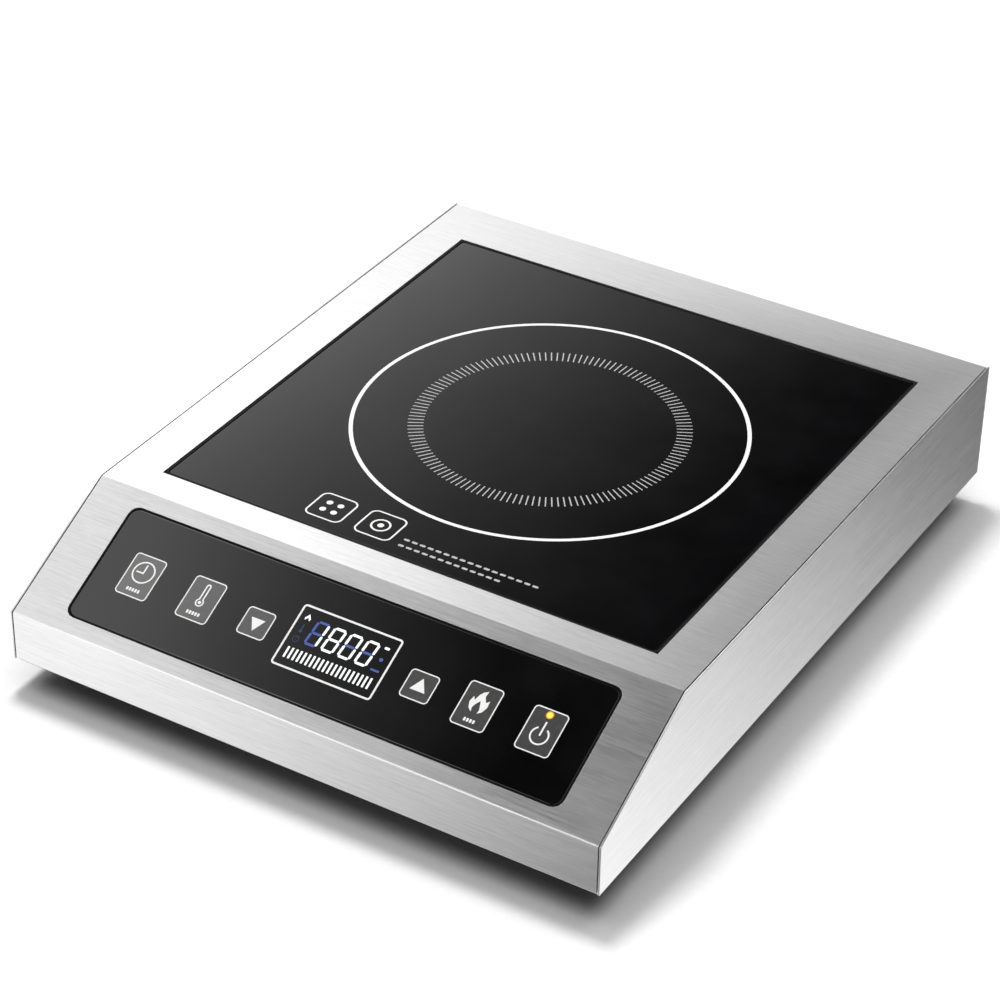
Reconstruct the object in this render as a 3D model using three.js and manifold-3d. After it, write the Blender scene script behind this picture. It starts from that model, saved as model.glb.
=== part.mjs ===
// Countertop induction cooker: a folded stainless housing, a square glass-ceramic hob over a
// pancake coil, a sloped touch panel, two cooling fans lying on the base, and four rubber feet.
// Millimetres, +Z up, +X to the user's right, the sloped panel towards -Y.
// The origin is at counter height, under the centre of the whole footprint.
import * as THREE from "three";
import { mergeVertices } from "three/addons/utils/BufferGeometryUtils.js";
import Module from "manifold-3d";

const wasm = await Module();
wasm.setup();

// ---- Driving dimensions -------------------------------------------------------------------

// Housing
const housingWidth = 330;
const housingDepth = 407;
const housingHeight = 66;
const lipHeight = 28;
const slopeRun = 75;
const standHeight = 18;
const sheet = 1;
const bendRadius = 1.6;
const seamGap = 0.5;
const flangeWidth = 12;
const rearFlangeHeight = 14;
const fitGap = 0.3;

// Hob glass
const glassOpening = 280;
const glassFrontMargin = 18;
const glassThickness = 4;
const glassRecess = 0.4;
const glassBead = 1.7;
const glassCorner = 2;

// Control panel
const panelOpeningWidth = 277;
const panelOpeningHeight = 66;
const panelCorner = 5.5;
const panelGlassThickness = 3;
const panelRecess = 0.2;
const panelBead = 1;
const boardThickness = 1.6;
const boardDepthBelowFace = 10.4;
const displayWidth = 56;
const displayHeight = 34;
const displayOffset = -0.8;
const outerKeyX = 112.5;
const innerKeyX = 77.3;
const arrowKeyX = 45.5;
const keyOffset = -1.1;
const lampOffset = 8.2;

// Support frames under both glasses
const glassSupportLip = 10;
const panelSupportLip = 3;
const supportLedge = 7;
const beadClearance = 0.15;

// Coil stack
const coilInnerRadius = 27;
const coilOuterRadius = 86;
const coilTurns = 11;
const coilHeight = 4;
const turnGap = 1;
const carrierRadius = 90;
const carrierThickness = 3.5;
const micaThickness = 0.8;
const micaClearance = 0.9;
const ferriteCount = 6;
const ferriteLength = 48;
const ferriteWidth = 12;
const ferriteThickness = 5;
const ferriteInnerRadius = 30;
const coilBridgeWidth = 250;
const coilBridgeLength = 150;
const coilBridgeSheet = 1.5;
const coilBridgeHole = 24;
const sensorRadius = 7;
const sensorHeight = 3;
const leadRadius = 1.5;
const leadSlotOffset = 15.5;

// Cooling fans
const fanSize = 80;
const fanDepth = 25;
const fanSpacing = 120;
const fanBehindSlope = 50;
const fanWall = 1.5;
const fanTipClearance = 1.4;
const fanHubRadius = 14;
const bladeCount = 7;
const bladeThickness = 1.5;
const bladeChord = 20;
const strutWidth = 5;
const strutDepth = 2.5;

// Power electronics
const powerBoardWidth = 200;
const powerBoardLength = 150;
const powerBoardBehindFans = 10;
const standoffHeight = 7;
const heatsinkWidth = 84;
const heatsinkLength = 90;
const heatsinkHeadroom = 4.5;
const heatsinkBase = 4;
const finCount = 9;
const finThickness = 2;
const chipHeight = 5;
const resonantHeadroom = 7.8;
const filterHeadroom = 11.8;
const supplySideX = 65;

// Feet, screws and the cord gland
const footTopRadius = 13;
const footBottomRadius = 11;
const footInset = 35;
const footSideInset = 25;
const footCounterbore = 9;
const footCounterboreRadius = 5;
const screwRadius = 2;
const screwClearance = 0.4;
const screwHeadRadius = 4.2;
const screwHeadHeight = 2.4;
const rearScrewRadius = 1.5;
const rearScrewSpacing = 120;
const glandProud = 12;
const glandFlangeRadius = 12;
const glandThreadRadius = 7.7;
const glandBoreRadius = 4.2;
const glandHeight = 20;
const ventPitch = 9;
const ventWidth = 4;
const ventHeight = 26;
const ventsPerSide = 9;

// ---- Positions that follow from them ------------------------------------------------------

const front = -(housingDepth + glandProud) / 2;
const rear = front + housingDepth;
const halfWidth = housingWidth / 2;
const topZ = standHeight + housingHeight;
const lipTopZ = standHeight + lipHeight;
const slopeTopY = front + slopeRun;
const slopeAngle = Math.atan2(topZ - lipTopZ, slopeRun);
const coverHalfWidth = halfWidth - sheet - seamGap;
const baseTopZ = standHeight - fitGap;
const baseBottomZ = baseTopZ - sheet;
const glassFrontY = slopeTopY + glassFrontMargin;
const hobY = glassFrontY + glassOpening / 2;
const glassTopZ = topZ - glassRecess;
const glassBottomZ = glassTopZ - glassThickness;
const micaTopZ = glassBottomZ - micaClearance;
const coilTopZ = micaTopZ - micaThickness - fitGap;
const coilBottomZ = coilTopZ - coilHeight;
const carrierTopZ = coilBottomZ - fitGap;
const ferriteTopZ = carrierTopZ - carrierThickness - fitGap;
const bridgeTopZ = ferriteTopZ - ferriteThickness - fitGap;
const fanBottomZ = baseTopZ + fitGap;
const fanY = slopeTopY + fanBehindSlope;
const fanBoreRadius = fanSize / 2 - fanWall;
const fanTipRadius = fanBoreRadius - fanTipClearance;
const boardBottomZ = baseTopZ + standoffHeight + fitGap;
const boardTopZ = boardBottomZ + boardThickness;
const boardFrontY = fanY + fanSize / 2 + powerBoardBehindFans;
const boardMiddleY = boardFrontY + powerBoardLength / 2;
const heatsinkX = -powerBoardWidth / 2 + heatsinkWidth / 2 + 6;
const bridgeBottomZ = bridgeTopZ - coilBridgeSheet;
const heatsinkBottomZ = boardTopZ + chipHeight + 2 * fitGap;
const rearPanelOuterY = rear - sheet - fitGap;
const rearScrewZ = topZ - rearFlangeHeight / 2;
const glandZ = standHeight + glandHeight;
const footX = halfWidth - footSideInset;
const footTopZ = baseBottomZ - fitGap;

// ---- Finishes -----------------------------------------------------------------------------

const finishes = {
  steel: { color: 0xc9cacb, roughness: 0.34, metalness: 1 },
  zincSheet: { color: 0xb4b8bc, roughness: 0.45, metalness: 1 },
  blackGlass: { color: 0x0a0a0c, roughness: 0.06, metalness: 0 },
  blackSilicone: { color: 0x0b0b0b, roughness: 0.6, metalness: 0 },
  rubber: { color: 0x151515, roughness: 0.85, metalness: 0 },
  boardGreen: { color: 0x1e5a3a, roughness: 0.5, metalness: 0 },
  displayBlack: { color: 0x101014, roughness: 0.25, metalness: 0 },
  springSteel: { color: 0xd0d0cc, roughness: 0.3, metalness: 1 },
  amberLens: { color: 0xffab1f, roughness: 0.2, metalness: 0 },
  copper: { color: 0xb87345, roughness: 0.45, metalness: 1 },
  blackPlastic: { color: 0x18181a, roughness: 0.55, metalness: 0 },
  ferrite: { color: 0x3a3b3d, roughness: 0.75, metalness: 0 },
  mica: { color: 0xd8d2c4, roughness: 0.7, metalness: 0 },
  aluminium: { color: 0xc5c8cb, roughness: 0.4, metalness: 1 },
  capacitorYellow: { color: 0xd9b23a, roughness: 0.4, metalness: 0 },
  whitePlastic: { color: 0xe6e6e2, roughness: 0.5, metalness: 0 },
  leadRed: { color: 0x9c2f26, roughness: 0.6, metalness: 0 },
  ribbonGrey: { color: 0x9a9ca0, roughness: 0.6, metalness: 0 },
};

// ---- Helpers ------------------------------------------------------------------------------

// A closed three.js geometry as a solid that can be joined and cut.
function solid(geometry) {
  const bare = geometry.clone();
  bare.deleteAttribute("normal");
  bare.deleteAttribute("uv");
  const merged = mergeVertices(bare, 1e-4);
  return new wasm.Manifold(
    new wasm.Mesh({
      numProp: 3,
      vertProperties: merged.attributes.position.array,
      triVerts: new Uint32Array(merged.index.array),
    }),
  );
}

// The solid's surface as a three.js geometry.
function surface(body) {
  const mesh = body.getMesh();
  const geometry = new THREE.BufferGeometry();
  const positions = new Float32Array(mesh.vertProperties);
  geometry.setAttribute("position", new THREE.BufferAttribute(positions, 3));
  geometry.setIndex(Array.from(mesh.triVerts));
  return geometry;
}

function join(geometries) {
  return surface(geometries.map(solid).reduce((whole, next) => whole.add(next)));
}

function cut(geometry, tools) {
  return surface(tools.map(solid).reduce((rest, tool) => rest.subtract(tool), solid(geometry)));
}

// A box between two corners.
function block(x0, x1, y0, y1, z0, z1) {
  const geometry = new THREE.BoxGeometry(x1 - x0, y1 - y0, z1 - z0);
  return geometry.translate((x0 + x1) / 2, (y0 + y1) / 2, (z0 + z1) / 2);
}

// A rod along Z between two heights.
function rod(radius, z0, z1, sides) {
  const geometry = new THREE.CylinderGeometry(radius, radius, z1 - z0, sides);
  return geometry.rotateX(Math.PI / 2).translate(0, 0, (z0 + z1) / 2);
}

// A solid turned about Z from a closed profile of [radius, z] points.
function turned(profile, sides) {
  const points = profile.map(([radius, z]) => new THREE.Vector2(radius, z));
  return new THREE.LatheGeometry(points, sides).rotateX(Math.PI / 2);
}

function polygon(points) {
  return new THREE.Shape(points.map(([x, y]) => new THREE.Vector2(x, y)));
}

// A regular polygon around a centre, standing in for a circle.
function ringPoints(radius, sides, x = 0, y = 0) {
  return Array.from({ length: sides }, (_, i) => {
    const angle = (2 * Math.PI * i) / sides;
    return [x + radius * Math.cos(angle), y + radius * Math.sin(angle)];
  });
}

// A rectangle round the origin with rounded corners.
function roundedRectangle(width, height, radius, cornerSteps = 4) {
  const points = [];
  for (let corner = 0; corner < 4; corner += 1) {
    const signX = corner === 0 || corner === 3 ? 1 : -1;
    const signY = corner < 2 ? 1 : -1;
    const middleX = signX * (width / 2 - radius);
    const middleY = signY * (height / 2 - radius);
    for (let step = 0; step <= cornerSteps; step += 1) {
      const angle = ((corner + step / cornerSteps) * Math.PI) / 2;
      points.push([middleX + radius * Math.cos(angle), middleY + radius * Math.sin(angle)]);
    }
  }
  return points;
}

// A slot with round ends, upright unless turned.
function slotPoints(width, length, x, y, upright) {
  const points = [];
  const endSteps = 2;
  for (let end = 0; end < 2; end += 1) {
    const shift = (end === 0 ? 1 : -1) * (length / 2 - width / 2);
    for (let step = 0; step <= endSteps; step += 1) {
      const angle = (end + step / endSteps) * Math.PI;
      const along = shift + (width / 2) * Math.sin(angle);
      const across = (width / 2) * Math.cos(angle);
      points.push(upright ? [x + across, y + along] : [x + along, y - across]);
    }
  }
  return points;
}

// A flat plate of an outline with holes, between two heights.
function plate(outline, holes, z0, z1) {
  const shape = polygon(outline);
  shape.holes = holes.map(polygon);
  const geometry = new THREE.ExtrudeGeometry(shape, { depth: z1 - z0, bevelEnabled: false });
  return geometry.translate(0, 0, z0);
}

// The same plate, stood up: its outline is read as X and Z, and its thickness runs along Y.
function uprightPlate(outline, holes, y0, y1) {
  return plate(outline, holes, -y1, -y0).rotateX(Math.PI / 2);
}

// Takes a profile in Y and Z, extruded, to its place along X.
function layAlongX(geometry, x0) {
  const turn = new THREE.Matrix4().makeBasis(
    new THREE.Vector3(0, 1, 0),
    new THREE.Vector3(0, 0, 1),
    new THREE.Vector3(1, 0, 0),
  );
  return geometry.applyMatrix4(turn).translate(x0, 0, 0);
}

// The section of a folded sheet, from its outer corner points, which turn clockwise: each fold
// is an arc of the bend radius outside and of the bend radius less the sheet inside.
function foldedSection(corners, thickness, radius) {
  const points = corners.map(([x, y]) => new THREE.Vector2(x, y));
  const directions = points.slice(1).map((point, i) => point.clone().sub(points[i]).normalize());
  const inward = directions.map((direction) => new THREE.Vector2(direction.y, -direction.x));
  const outer = [points[0]];
  const inner = [points[0].clone().addScaledVector(inward[0], thickness)];
  const foldSteps = 5;
  for (let i = 1; i < points.length - 1; i += 1) {
    const turn = Math.acos(directions[i - 1].dot(directions[i]));
    const tangent = radius * Math.tan(turn / 2);
    const middle = points[i].clone().addScaledVector(directions[i - 1], -tangent);
    middle.addScaledVector(inward[i - 1], radius);
    for (let step = 0; step <= foldSteps; step += 1) {
      const spoke = inward[i - 1].clone().rotateAround(new THREE.Vector2(), (-turn * step) / foldSteps);
      outer.push(middle.clone().addScaledVector(spoke, -radius));
      inner.push(middle.clone().addScaledVector(spoke, thickness - radius));
    }
  }
  const last = points.length - 1;
  outer.push(points[last]);
  inner.push(points[last].clone().addScaledVector(inward[last - 1], thickness));
  return outer.concat(inner.reverse());
}

// A folded sheet, its section drawn in Y and Z, centred on X.
function foldedSheet(corners, thickness, width) {
  const shape = new THREE.Shape(foldedSection(corners, thickness, bendRadius));
  const geometry = new THREE.ExtrudeGeometry(shape, { depth: width, bevelEnabled: false });
  return layAlongX(geometry, -width / 2);
}

// A tube of a section swept along a curve.
function swept(section, curve, steps) {
  const options = { steps, extrudePath: curve, bevelEnabled: false };
  return new THREE.ExtrudeGeometry(polygon(section), options);
}

function lead(points, radius, steps) {
  const curve = new THREE.CatmullRomCurve3(points.map(([x, y, z]) => new THREE.Vector3(x, y, z)));
  return swept(ringPoints(radius, 6), curve, steps);
}

// A coil of wire about Z, whose radius and height change evenly from one end to the other.
class Winding extends THREE.Curve {
  constructor(startRadius, endRadius, startZ, endZ, turns) {
    super();
    Object.assign(this, { startRadius, endRadius, startZ, endZ, turns });
  }
  getPoint(t) {
    const angle = Math.PI / 2 + 2 * Math.PI * this.turns * t;
    const radius = this.startRadius + (this.endRadius - this.startRadius) * t;
    const z = this.startZ + (this.endZ - this.startZ) * t;
    return new THREE.Vector3(radius * Math.cos(angle), radius * Math.sin(angle), z);
  }
  // Points and tangents both go by the turn, not by length, so neighbouring turns stay parallel.
  getUtoTmapping(u) {
    return u;
  }
}

function spring(startRadius, endRadius, z0, z1, turns) {
  const wire = 0.5;
  const curve = new Winding(startRadius, endRadius, z0 + wire, z1 - wire, turns);
  return swept(ringPoints(wire, 4), curve, Math.round(turns * 7));
}

// ---- Housing ------------------------------------------------------------------------------

// A rod along Y through the cover's rear flange and the rear panel.
function rearScrewHole(x) {
  const geometry = rod(rearScrewRadius + screwClearance, -6, 6, 10).rotateX(Math.PI / 2);
  return geometry.translate(x, rear, rearScrewZ);
}

const rearScrewXs = [-rearScrewSpacing, 0, rearScrewSpacing];

// One sheet makes the front lip, the slope, the deck and the short rear flange.
function topCover() {
  const corners = [
    [front + flangeWidth, standHeight],
    [front, standHeight],
    [front, lipTopZ],
    [slopeTopY, topZ],
    [rear, topZ],
    [rear, topZ - rearFlangeHeight],
  ];
  const folded = foldedSheet(corners, sheet, 2 * coverHalfWidth);
  const glassHole = block(
    -glassOpening / 2,
    glassOpening / 2,
    glassFrontY,
    glassFrontY + glassOpening,
    topZ - 3 * sheet,
    topZ + sheet,
  );
  const outline = roundedRectangle(panelOpeningWidth, panelOpeningHeight, panelCorner);
  const panelHole = plate(outline, [], -3 * sheet, sheet).applyMatrix4(slopePlace());
  return cut(folded, [glassHole, panelHole, ...rearScrewXs.map(rearScrewHole)]);
}

// From the slope's own frame (X across, Y up the slope, Z out of its face) to the housing.
function slopePlace() {
  const place = new THREE.Matrix4().makeRotationX(slopeAngle);
  return place.setPosition(0, (front + slopeTopY) / 2, (lipTopZ + topZ) / 2);
}

// A side plate with the housing's profile and an inward flange along its foot.
function sidePanel(side) {
  const outline = [
    [front, standHeight],
    [rear, standHeight],
    [rear, topZ],
    [slopeTopY, topZ],
    [front, lipTopZ],
  ];
  const wall = new THREE.ExtrudeGeometry(polygon(outline), { depth: sheet, bevelEnabled: false });
  layAlongX(wall, side > 0 ? halfWidth - sheet : -halfWidth);
  const endSetback = flangeWidth + 3;
  const inner = side * (halfWidth - flangeWidth);
  const outer = side * halfWidth;
  const flange = block(
    Math.min(inner, outer),
    Math.max(inner, outer),
    front + endSetback,
    rear - endSetback,
    standHeight,
    standHeight + sheet,
  );
  return join([wall, flange]);
}

// The back wall, with two banks of exhaust slots and the hole of the cord gland.
function rearPanel() {
  const panelTop = topZ - sheet - fitGap;
  const outline = [
    [-coverHalfWidth, standHeight],
    [coverHalfWidth, standHeight],
    [coverHalfWidth, panelTop],
    [-coverHalfWidth, panelTop],
  ];
  const ventMiddleZ = glandZ + 5;
  const firstVentX = 45;
  const vents = [];
  for (let i = 0; i < ventsPerSide; i += 1) {
    const x = firstVentX + i * ventPitch;
    vents.push(slotPoints(ventWidth, ventHeight, x, ventMiddleZ, true));
    vents.push(slotPoints(ventWidth, ventHeight, -x, ventMiddleZ, true));
  }
  const glandHole = ringPoints(glandThreadRadius + fitGap, 20, 0, glandZ);
  const wall = uprightPlate(
    outline,
    [...vents, glandHole],
    rearPanelOuterY - sheet,
    rearPanelOuterY,
  );
  const flange = block(
    -coverHalfWidth,
    coverHalfWidth,
    rearPanelOuterY - flangeWidth,
    rearPanelOuterY,
    standHeight,
    standHeight + sheet,
  );
  return cut(join([wall, flange]), rearScrewXs.map(rearScrewHole));
}

const footPlaces = [
  { name: "front_left", x: -footX, y: front + footInset },
  { name: "front_right", x: footX, y: front + footInset },
  { name: "rear_left", x: -footX, y: rear - footInset },
  { name: "rear_right", x: footX, y: rear - footInset },
];

const fanPlaces = [
  { name: "left", x: -fanSpacing / 2 },
  { name: "right", x: fanSpacing / 2 },
];

// The slots of one fan's inlet, cut to the circle of its bore.
function inletSlots(x) {
  const slots = [];
  const pitch = 9;
  const ribHalf = 2.5;
  for (let row = -3; row <= 3; row += 1) {
    const reach = Math.sqrt((fanBoreRadius - 2) ** 2 - (row * pitch) ** 2);
    const length = reach - ribHalf;
    const middle = ribHalf + length / 2;
    slots.push(slotPoints(4.5, length, x - middle, fanY + row * pitch, false));
    slots.push(slotPoints(4.5, length, x + middle, fanY + row * pitch, false));
  }
  return slots;
}

// The bottom plate, screwed up to the walls' flanges, with the fans' inlets and board posts.
function basePlate() {
  const inset = 2;
  const x = halfWidth - inset;
  const outline = [
    [-x, front + inset],
    [x, front + inset],
    [x, rear - inset],
    [-x, rear - inset],
  ];
  const footHoles = footPlaces.map((foot) =>
    ringPoints(screwRadius + screwClearance, 10, foot.x, foot.y),
  );
  const slots = fanPlaces.flatMap((fan) => inletSlots(fan.x));
  const floor = plate(outline, [...footHoles, ...slots], baseBottomZ, baseTopZ);
  const postInset = 8;
  const posts = [];
  for (const signX of [-1, 1]) {
    for (const signY of [-1, 1]) {
      const post = rod(3.5, baseTopZ - sheet / 2, baseTopZ + standoffHeight, 8);
      const postY = boardMiddleY + signY * (powerBoardLength / 2 - postInset);
      posts.push(post.translate(signX * (powerBoardWidth / 2 - postInset), postY, 0));
    }
  }
  return join([floor, ...posts]);
}

// ---- Glass, beads and their supports ------------------------------------------------------

// A flat ring between two rounded rectangles that share a centre.
function frameRing(outerWidth, outerHeight, outerRadius, border, z0, z1) {
  const outline = roundedRectangle(outerWidth, outerHeight, outerRadius);
  const innerRadius = Math.max(outerRadius - border, 0.5);
  const hole = roundedRectangle(outerWidth - 2 * border, outerHeight - 2 * border, innerRadius);
  return plate(outline, [hole], z0, z1);
}

// A pane with a fine ground edge on its upper side.
function glassPane(width, height, radius, bottomZ, topFace) {
  const ground = 0.4;
  const shape = polygon(roundedRectangle(width - 2 * ground, height - 2 * ground, radius));
  const geometry = new THREE.ExtrudeGeometry(shape, {
    depth: topFace - bottomZ - 2 * ground,
    bevelThickness: ground,
    bevelSize: ground,
    bevelSegments: 1,
  });
  return geometry.translate(0, 0, bottomZ + ground);
}

// The stepped sheet frame that carries a pane from below: a lip under the cover, a wall round
// the opening, and a ledge under the pane. The face of the cover is at faceZ.
function supportFrame(width, height, radius, lipWidth, faceZ, ledgeTopZ) {
  const wall = sheet;
  const lipTop = faceZ - sheet - fitGap;
  const around = 2 * (fitGap + wall);
  const ringRadius = radius + fitGap + wall;
  const lip = frameRing(
    width + around + 2 * lipWidth,
    height + around + 2 * lipWidth,
    ringRadius,
    lipWidth + wall,
    lipTop - sheet,
    lipTop,
  );
  const skirt = frameRing(
    width + around,
    height + around,
    ringRadius,
    wall,
    ledgeTopZ - sheet,
    lipTop,
  );
  const ledge = frameRing(
    width + around,
    height + around,
    ringRadius,
    supportLedge + wall,
    ledgeTopZ - sheet,
    ledgeTopZ,
  );
  return [lip, skirt, ledge];
}

function hobGlass() {
  const size = glassOpening - 2 * glassBead;
  return glassPane(size, size, glassCorner, glassBottomZ, glassTopZ);
}

function hobSeal() {
  const size = glassOpening - 2 * beadClearance;
  const border = glassBead - 2 * beadClearance;
  return frameRing(size, size, glassCorner + border, border, glassBottomZ, topZ - fitGap);
}

function hobSupport() {
  const ledgeTop = glassBottomZ - fitGap;
  return join(supportFrame(glassOpening, glassOpening, 1, glassSupportLip, topZ, ledgeTop));
}

// The control panel is laid out in the slope's frame, whose face is Z = 0.
const panelGlassTop = -panelRecess;
const panelGlassBottom = panelGlassTop - panelGlassThickness;
const panelBoardTop = -boardDepthBelowFace;

function controlGlass() {
  return glassPane(
    panelOpeningWidth - 2 * panelBead,
    panelOpeningHeight - 2 * panelBead,
    panelCorner - panelBead,
    panelGlassBottom,
    panelGlassTop,
  );
}

function controlSeal() {
  return frameRing(
    panelOpeningWidth - 2 * beadClearance,
    panelOpeningHeight - 2 * beadClearance,
    panelCorner - beadClearance,
    panelBead - 2 * beadClearance,
    panelGlassBottom,
    -fitGap,
  );
}

// The panel's frame also has four posts that the control board is screwed to.
const panelPostX = panelOpeningWidth / 2 - supportLedge / 2;
const panelPostY = 18;

function controlSupport() {
  const ledgeTop = panelGlassBottom - fitGap;
  const frame = supportFrame(
    panelOpeningWidth,
    panelOpeningHeight,
    panelCorner,
    panelSupportLip,
    0,
    ledgeTop,
  );
  const posts = [];
  for (const signX of [-1, 1]) {
    for (const signY of [-1, 1]) {
      const post = rod(2.2, panelBoardTop + fitGap, ledgeTop - sheet / 2, 8);
      posts.push(post.translate(signX * panelPostX, signY * panelPostY, 0));
    }
  }
  return join([...frame, ...posts]);
}

function controlBoard() {
  const width = panelOpeningWidth - 2;
  const height = panelOpeningHeight - 2 * supportLedge - 4;
  const outline = roundedRectangle(width, height, 2, 2);
  const holes = [-1, 1].flatMap((signX) =>
    [-1, 1].map((signY) => ringPoints(1.2, 8, signX * panelPostX, signY * panelPostY)),
  );
  return plate(outline, holes, panelBoardTop - boardThickness, panelBoardTop);
}

function displayModule() {
  const outline = roundedRectangle(displayWidth, displayHeight, 1, 2);
  const depth = plate(outline, [], panelBoardTop + fitGap, panelGlassBottom - 2 * fitGap);
  return depth.translate(0, displayOffset, 0);
}

function powerLamp() {
  const bottom = panelBoardTop + fitGap;
  const top = panelGlassBottom - fitGap;
  const profile = [
    [0, bottom],
    [2.4, bottom],
    [2.4, bottom + 1.2],
    [1.9, bottom + 1.2],
    [1.9, top - 1.6],
    [1.2, top - 0.3],
    [0, top],
  ];
  return turned(profile, 12).translate(outerKeyX, keyOffset + lampOffset, 0);
}

const touchKeys = [
  { name: "timer", x: -outerKeyX },
  { name: "temperature", x: -innerKeyX },
  { name: "down", x: -arrowKeyX },
  { name: "up", x: arrowKeyX },
  { name: "heat_level", x: innerKeyX },
  { name: "on_off", x: outerKeyX },
];

function touchSpring(x) {
  const bottom = panelBoardTop + fitGap;
  const top = panelGlassBottom - fitGap;
  return spring(3, 4.5, bottom, top, 2.5).translate(x, keyOffset - 3, 0);
}

// ---- Coil stack, in a frame whose Z axis is the hob's centre ------------------------------

function coilWinding() {
  const pitch = (coilOuterRadius - coilInnerRadius) / coilTurns;
  const bundle = pitch - turnGap;
  const section = [
    [-coilHeight / 2, -bundle / 2],
    [coilHeight / 2, -bundle / 2],
    [coilHeight / 2, bundle / 2],
    [-coilHeight / 2, bundle / 2],
  ];
  const middleZ = (coilTopZ + coilBottomZ) / 2;
  const curve = new Winding(
    coilInnerRadius + bundle / 2,
    coilOuterRadius - bundle / 2,
    middleZ,
    middleZ,
    coilTurns,
  );
  return swept(section, curve, coilTurns * 14);
}

// A moulded disc with windows between its arms and a slot for the inner lead.
function coilCarrier() {
  const windowInner = coilInnerRadius + 6;
  const windowOuter = carrierRadius - 10;
  const windowHalfAngle = 0.3;
  const windows = [];
  for (let i = 0; i < ferriteCount; i += 1) {
    const middle = ((i + 0.5) * 2 * Math.PI) / ferriteCount;
    const corners = [];
    for (const side of [-1, 0, 1]) {
      const angle = middle + side * windowHalfAngle;
      corners.push([windowOuter * Math.cos(angle), windowOuter * Math.sin(angle)]);
    }
    for (const side of [1, 0, -1]) {
      const angle = middle + side * windowHalfAngle;
      corners.push([windowInner * Math.cos(angle), windowInner * Math.sin(angle)]);
    }
    windows.push(corners);
  }
  const leadSlot = ringPoints(leadRadius + 1.8, 10, 0, leadSlotOffset);
  const outline = ringPoints(carrierRadius, 40);
  return plate(outline, [...windows, leadSlot], carrierTopZ - carrierThickness, carrierTopZ);
}

function ferriteBar(index) {
  const bar = roundedRectangle(ferriteLength, ferriteWidth, 1.5, 1);
  const geometry = plate(bar, [], ferriteTopZ - ferriteThickness, ferriteTopZ);
  geometry.translate(ferriteInnerRadius + ferriteLength / 2, 0, 0);
  return geometry.rotateZ((index * 2 * Math.PI) / ferriteCount);
}

function micaSheet() {
  const outline = ringPoints(carrierRadius, 32);
  const hole = ringPoints(sensorRadius + 1.5, 16);
  return plate(outline, [hole], micaTopZ - micaThickness, micaTopZ);
}

function temperatureSensor() {
  const top = glassBottomZ - fitGap;
  const bottom = top - sensorHeight;
  const profile = [
    [0, bottom],
    [sensorRadius - 1, bottom],
    [sensorRadius, bottom + 1],
    [sensorRadius, top - 0.5],
    [sensorRadius - 0.8, top],
    [0, top],
  ];
  return turned(profile, 18);
}

// A cone of wire, whose turns sink into each other when the glass goes on.
function sensorSpring() {
  const bottom = carrierTopZ + fitGap;
  const top = glassBottomZ - sensorHeight - 2 * fitGap;
  return spring(9, 4.5, bottom, top, 2.5);
}

// A bent strip that stands on the base and carries the coil stack.
function coilBridge() {
  const half = coilBridgeWidth / 2;
  const corners = [
    [-half, fanBottomZ],
    [-half, bridgeTopZ],
    [half, bridgeTopZ],
    [half, fanBottomZ],
  ];
  const folded = foldedSheet(corners, coilBridgeSheet, coilBridgeLength).rotateZ(-Math.PI / 2);
  const hole = rod(coilBridgeHole, bridgeTopZ - 10, bridgeTopZ + 5, 24);
  return cut(folded, [hole]);
}

// The outer lead runs out past the carrier, then down to the power board.
function outerCoilLead() {
  const z = (coilTopZ + coilBottomZ) / 2;
  const clear = carrierRadius + 5;
  return lead(
    [
      [0, coilOuterRadius + 2 * fitGap, z],
      [0, clear - 3, z - 0.5],
      [1, clear, z - 5],
      [8, clear - 1, (z + boardTopZ) / 2 + 8],
      [16, clear - 10, boardTopZ + 14],
      [18, clear - 16, boardTopZ + 2],
    ],
    leadRadius,
    20,
  );
}

// The inner lead drops through the carrier's slot and the bridge's hole.
function innerCoilLead() {
  const z = (coilTopZ + coilBottomZ) / 2;
  return lead(
    [
      [0, coilInnerRadius - 2 * fitGap, z],
      [0, leadSlotOffset + 2, z - 0.8],
      [0, leadSlotOffset, carrierTopZ - 1],
      [0, leadSlotOffset, ferriteTopZ - 3],
      [2, leadSlotOffset + 2, (z + boardTopZ) / 2],
      [4, leadSlotOffset + 10, boardTopZ + 10],
      [5, leadSlotOffset + 12, boardTopZ + 2],
    ],
    leadRadius,
    22,
  );
}

// ---- Fans, each in a frame whose Z axis is the fan's axis ---------------------------------

// A square frame with a round bore, and a motor seat on four struts at its upper face.
function fanFrame() {
  const mountingInset = 4.5;
  const mountingHoles = [-1, 1].flatMap((signX) =>
    [-1, 1].map((signY) => {
      const x = signX * (fanSize / 2 - mountingInset);
      const y = signY * (fanSize / 2 - mountingInset);
      return ringPoints(2, 8, x, y);
    }),
  );
  const shell = plate(
    roundedRectangle(fanSize, fanSize, 4, 2),
    [ringPoints(fanBoreRadius, 28), ...mountingHoles],
    fanBottomZ,
    fanBottomZ + fanDepth,
  );
  const top = fanBottomZ + fanDepth;
  const seat = rod(fanHubRadius, top - strutDepth, top, 20);
  const reach = fanBoreRadius + 0.5;
  const struts = [
    block(-reach, reach, -strutWidth / 2, strutWidth / 2, top - strutDepth, top),
    block(-strutWidth / 2, strutWidth / 2, -reach, reach, top - strutDepth, top),
  ];
  return join([shell, seat, ...struts.map((strut) => strut.rotateZ(Math.PI / 4))]);
}

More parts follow.
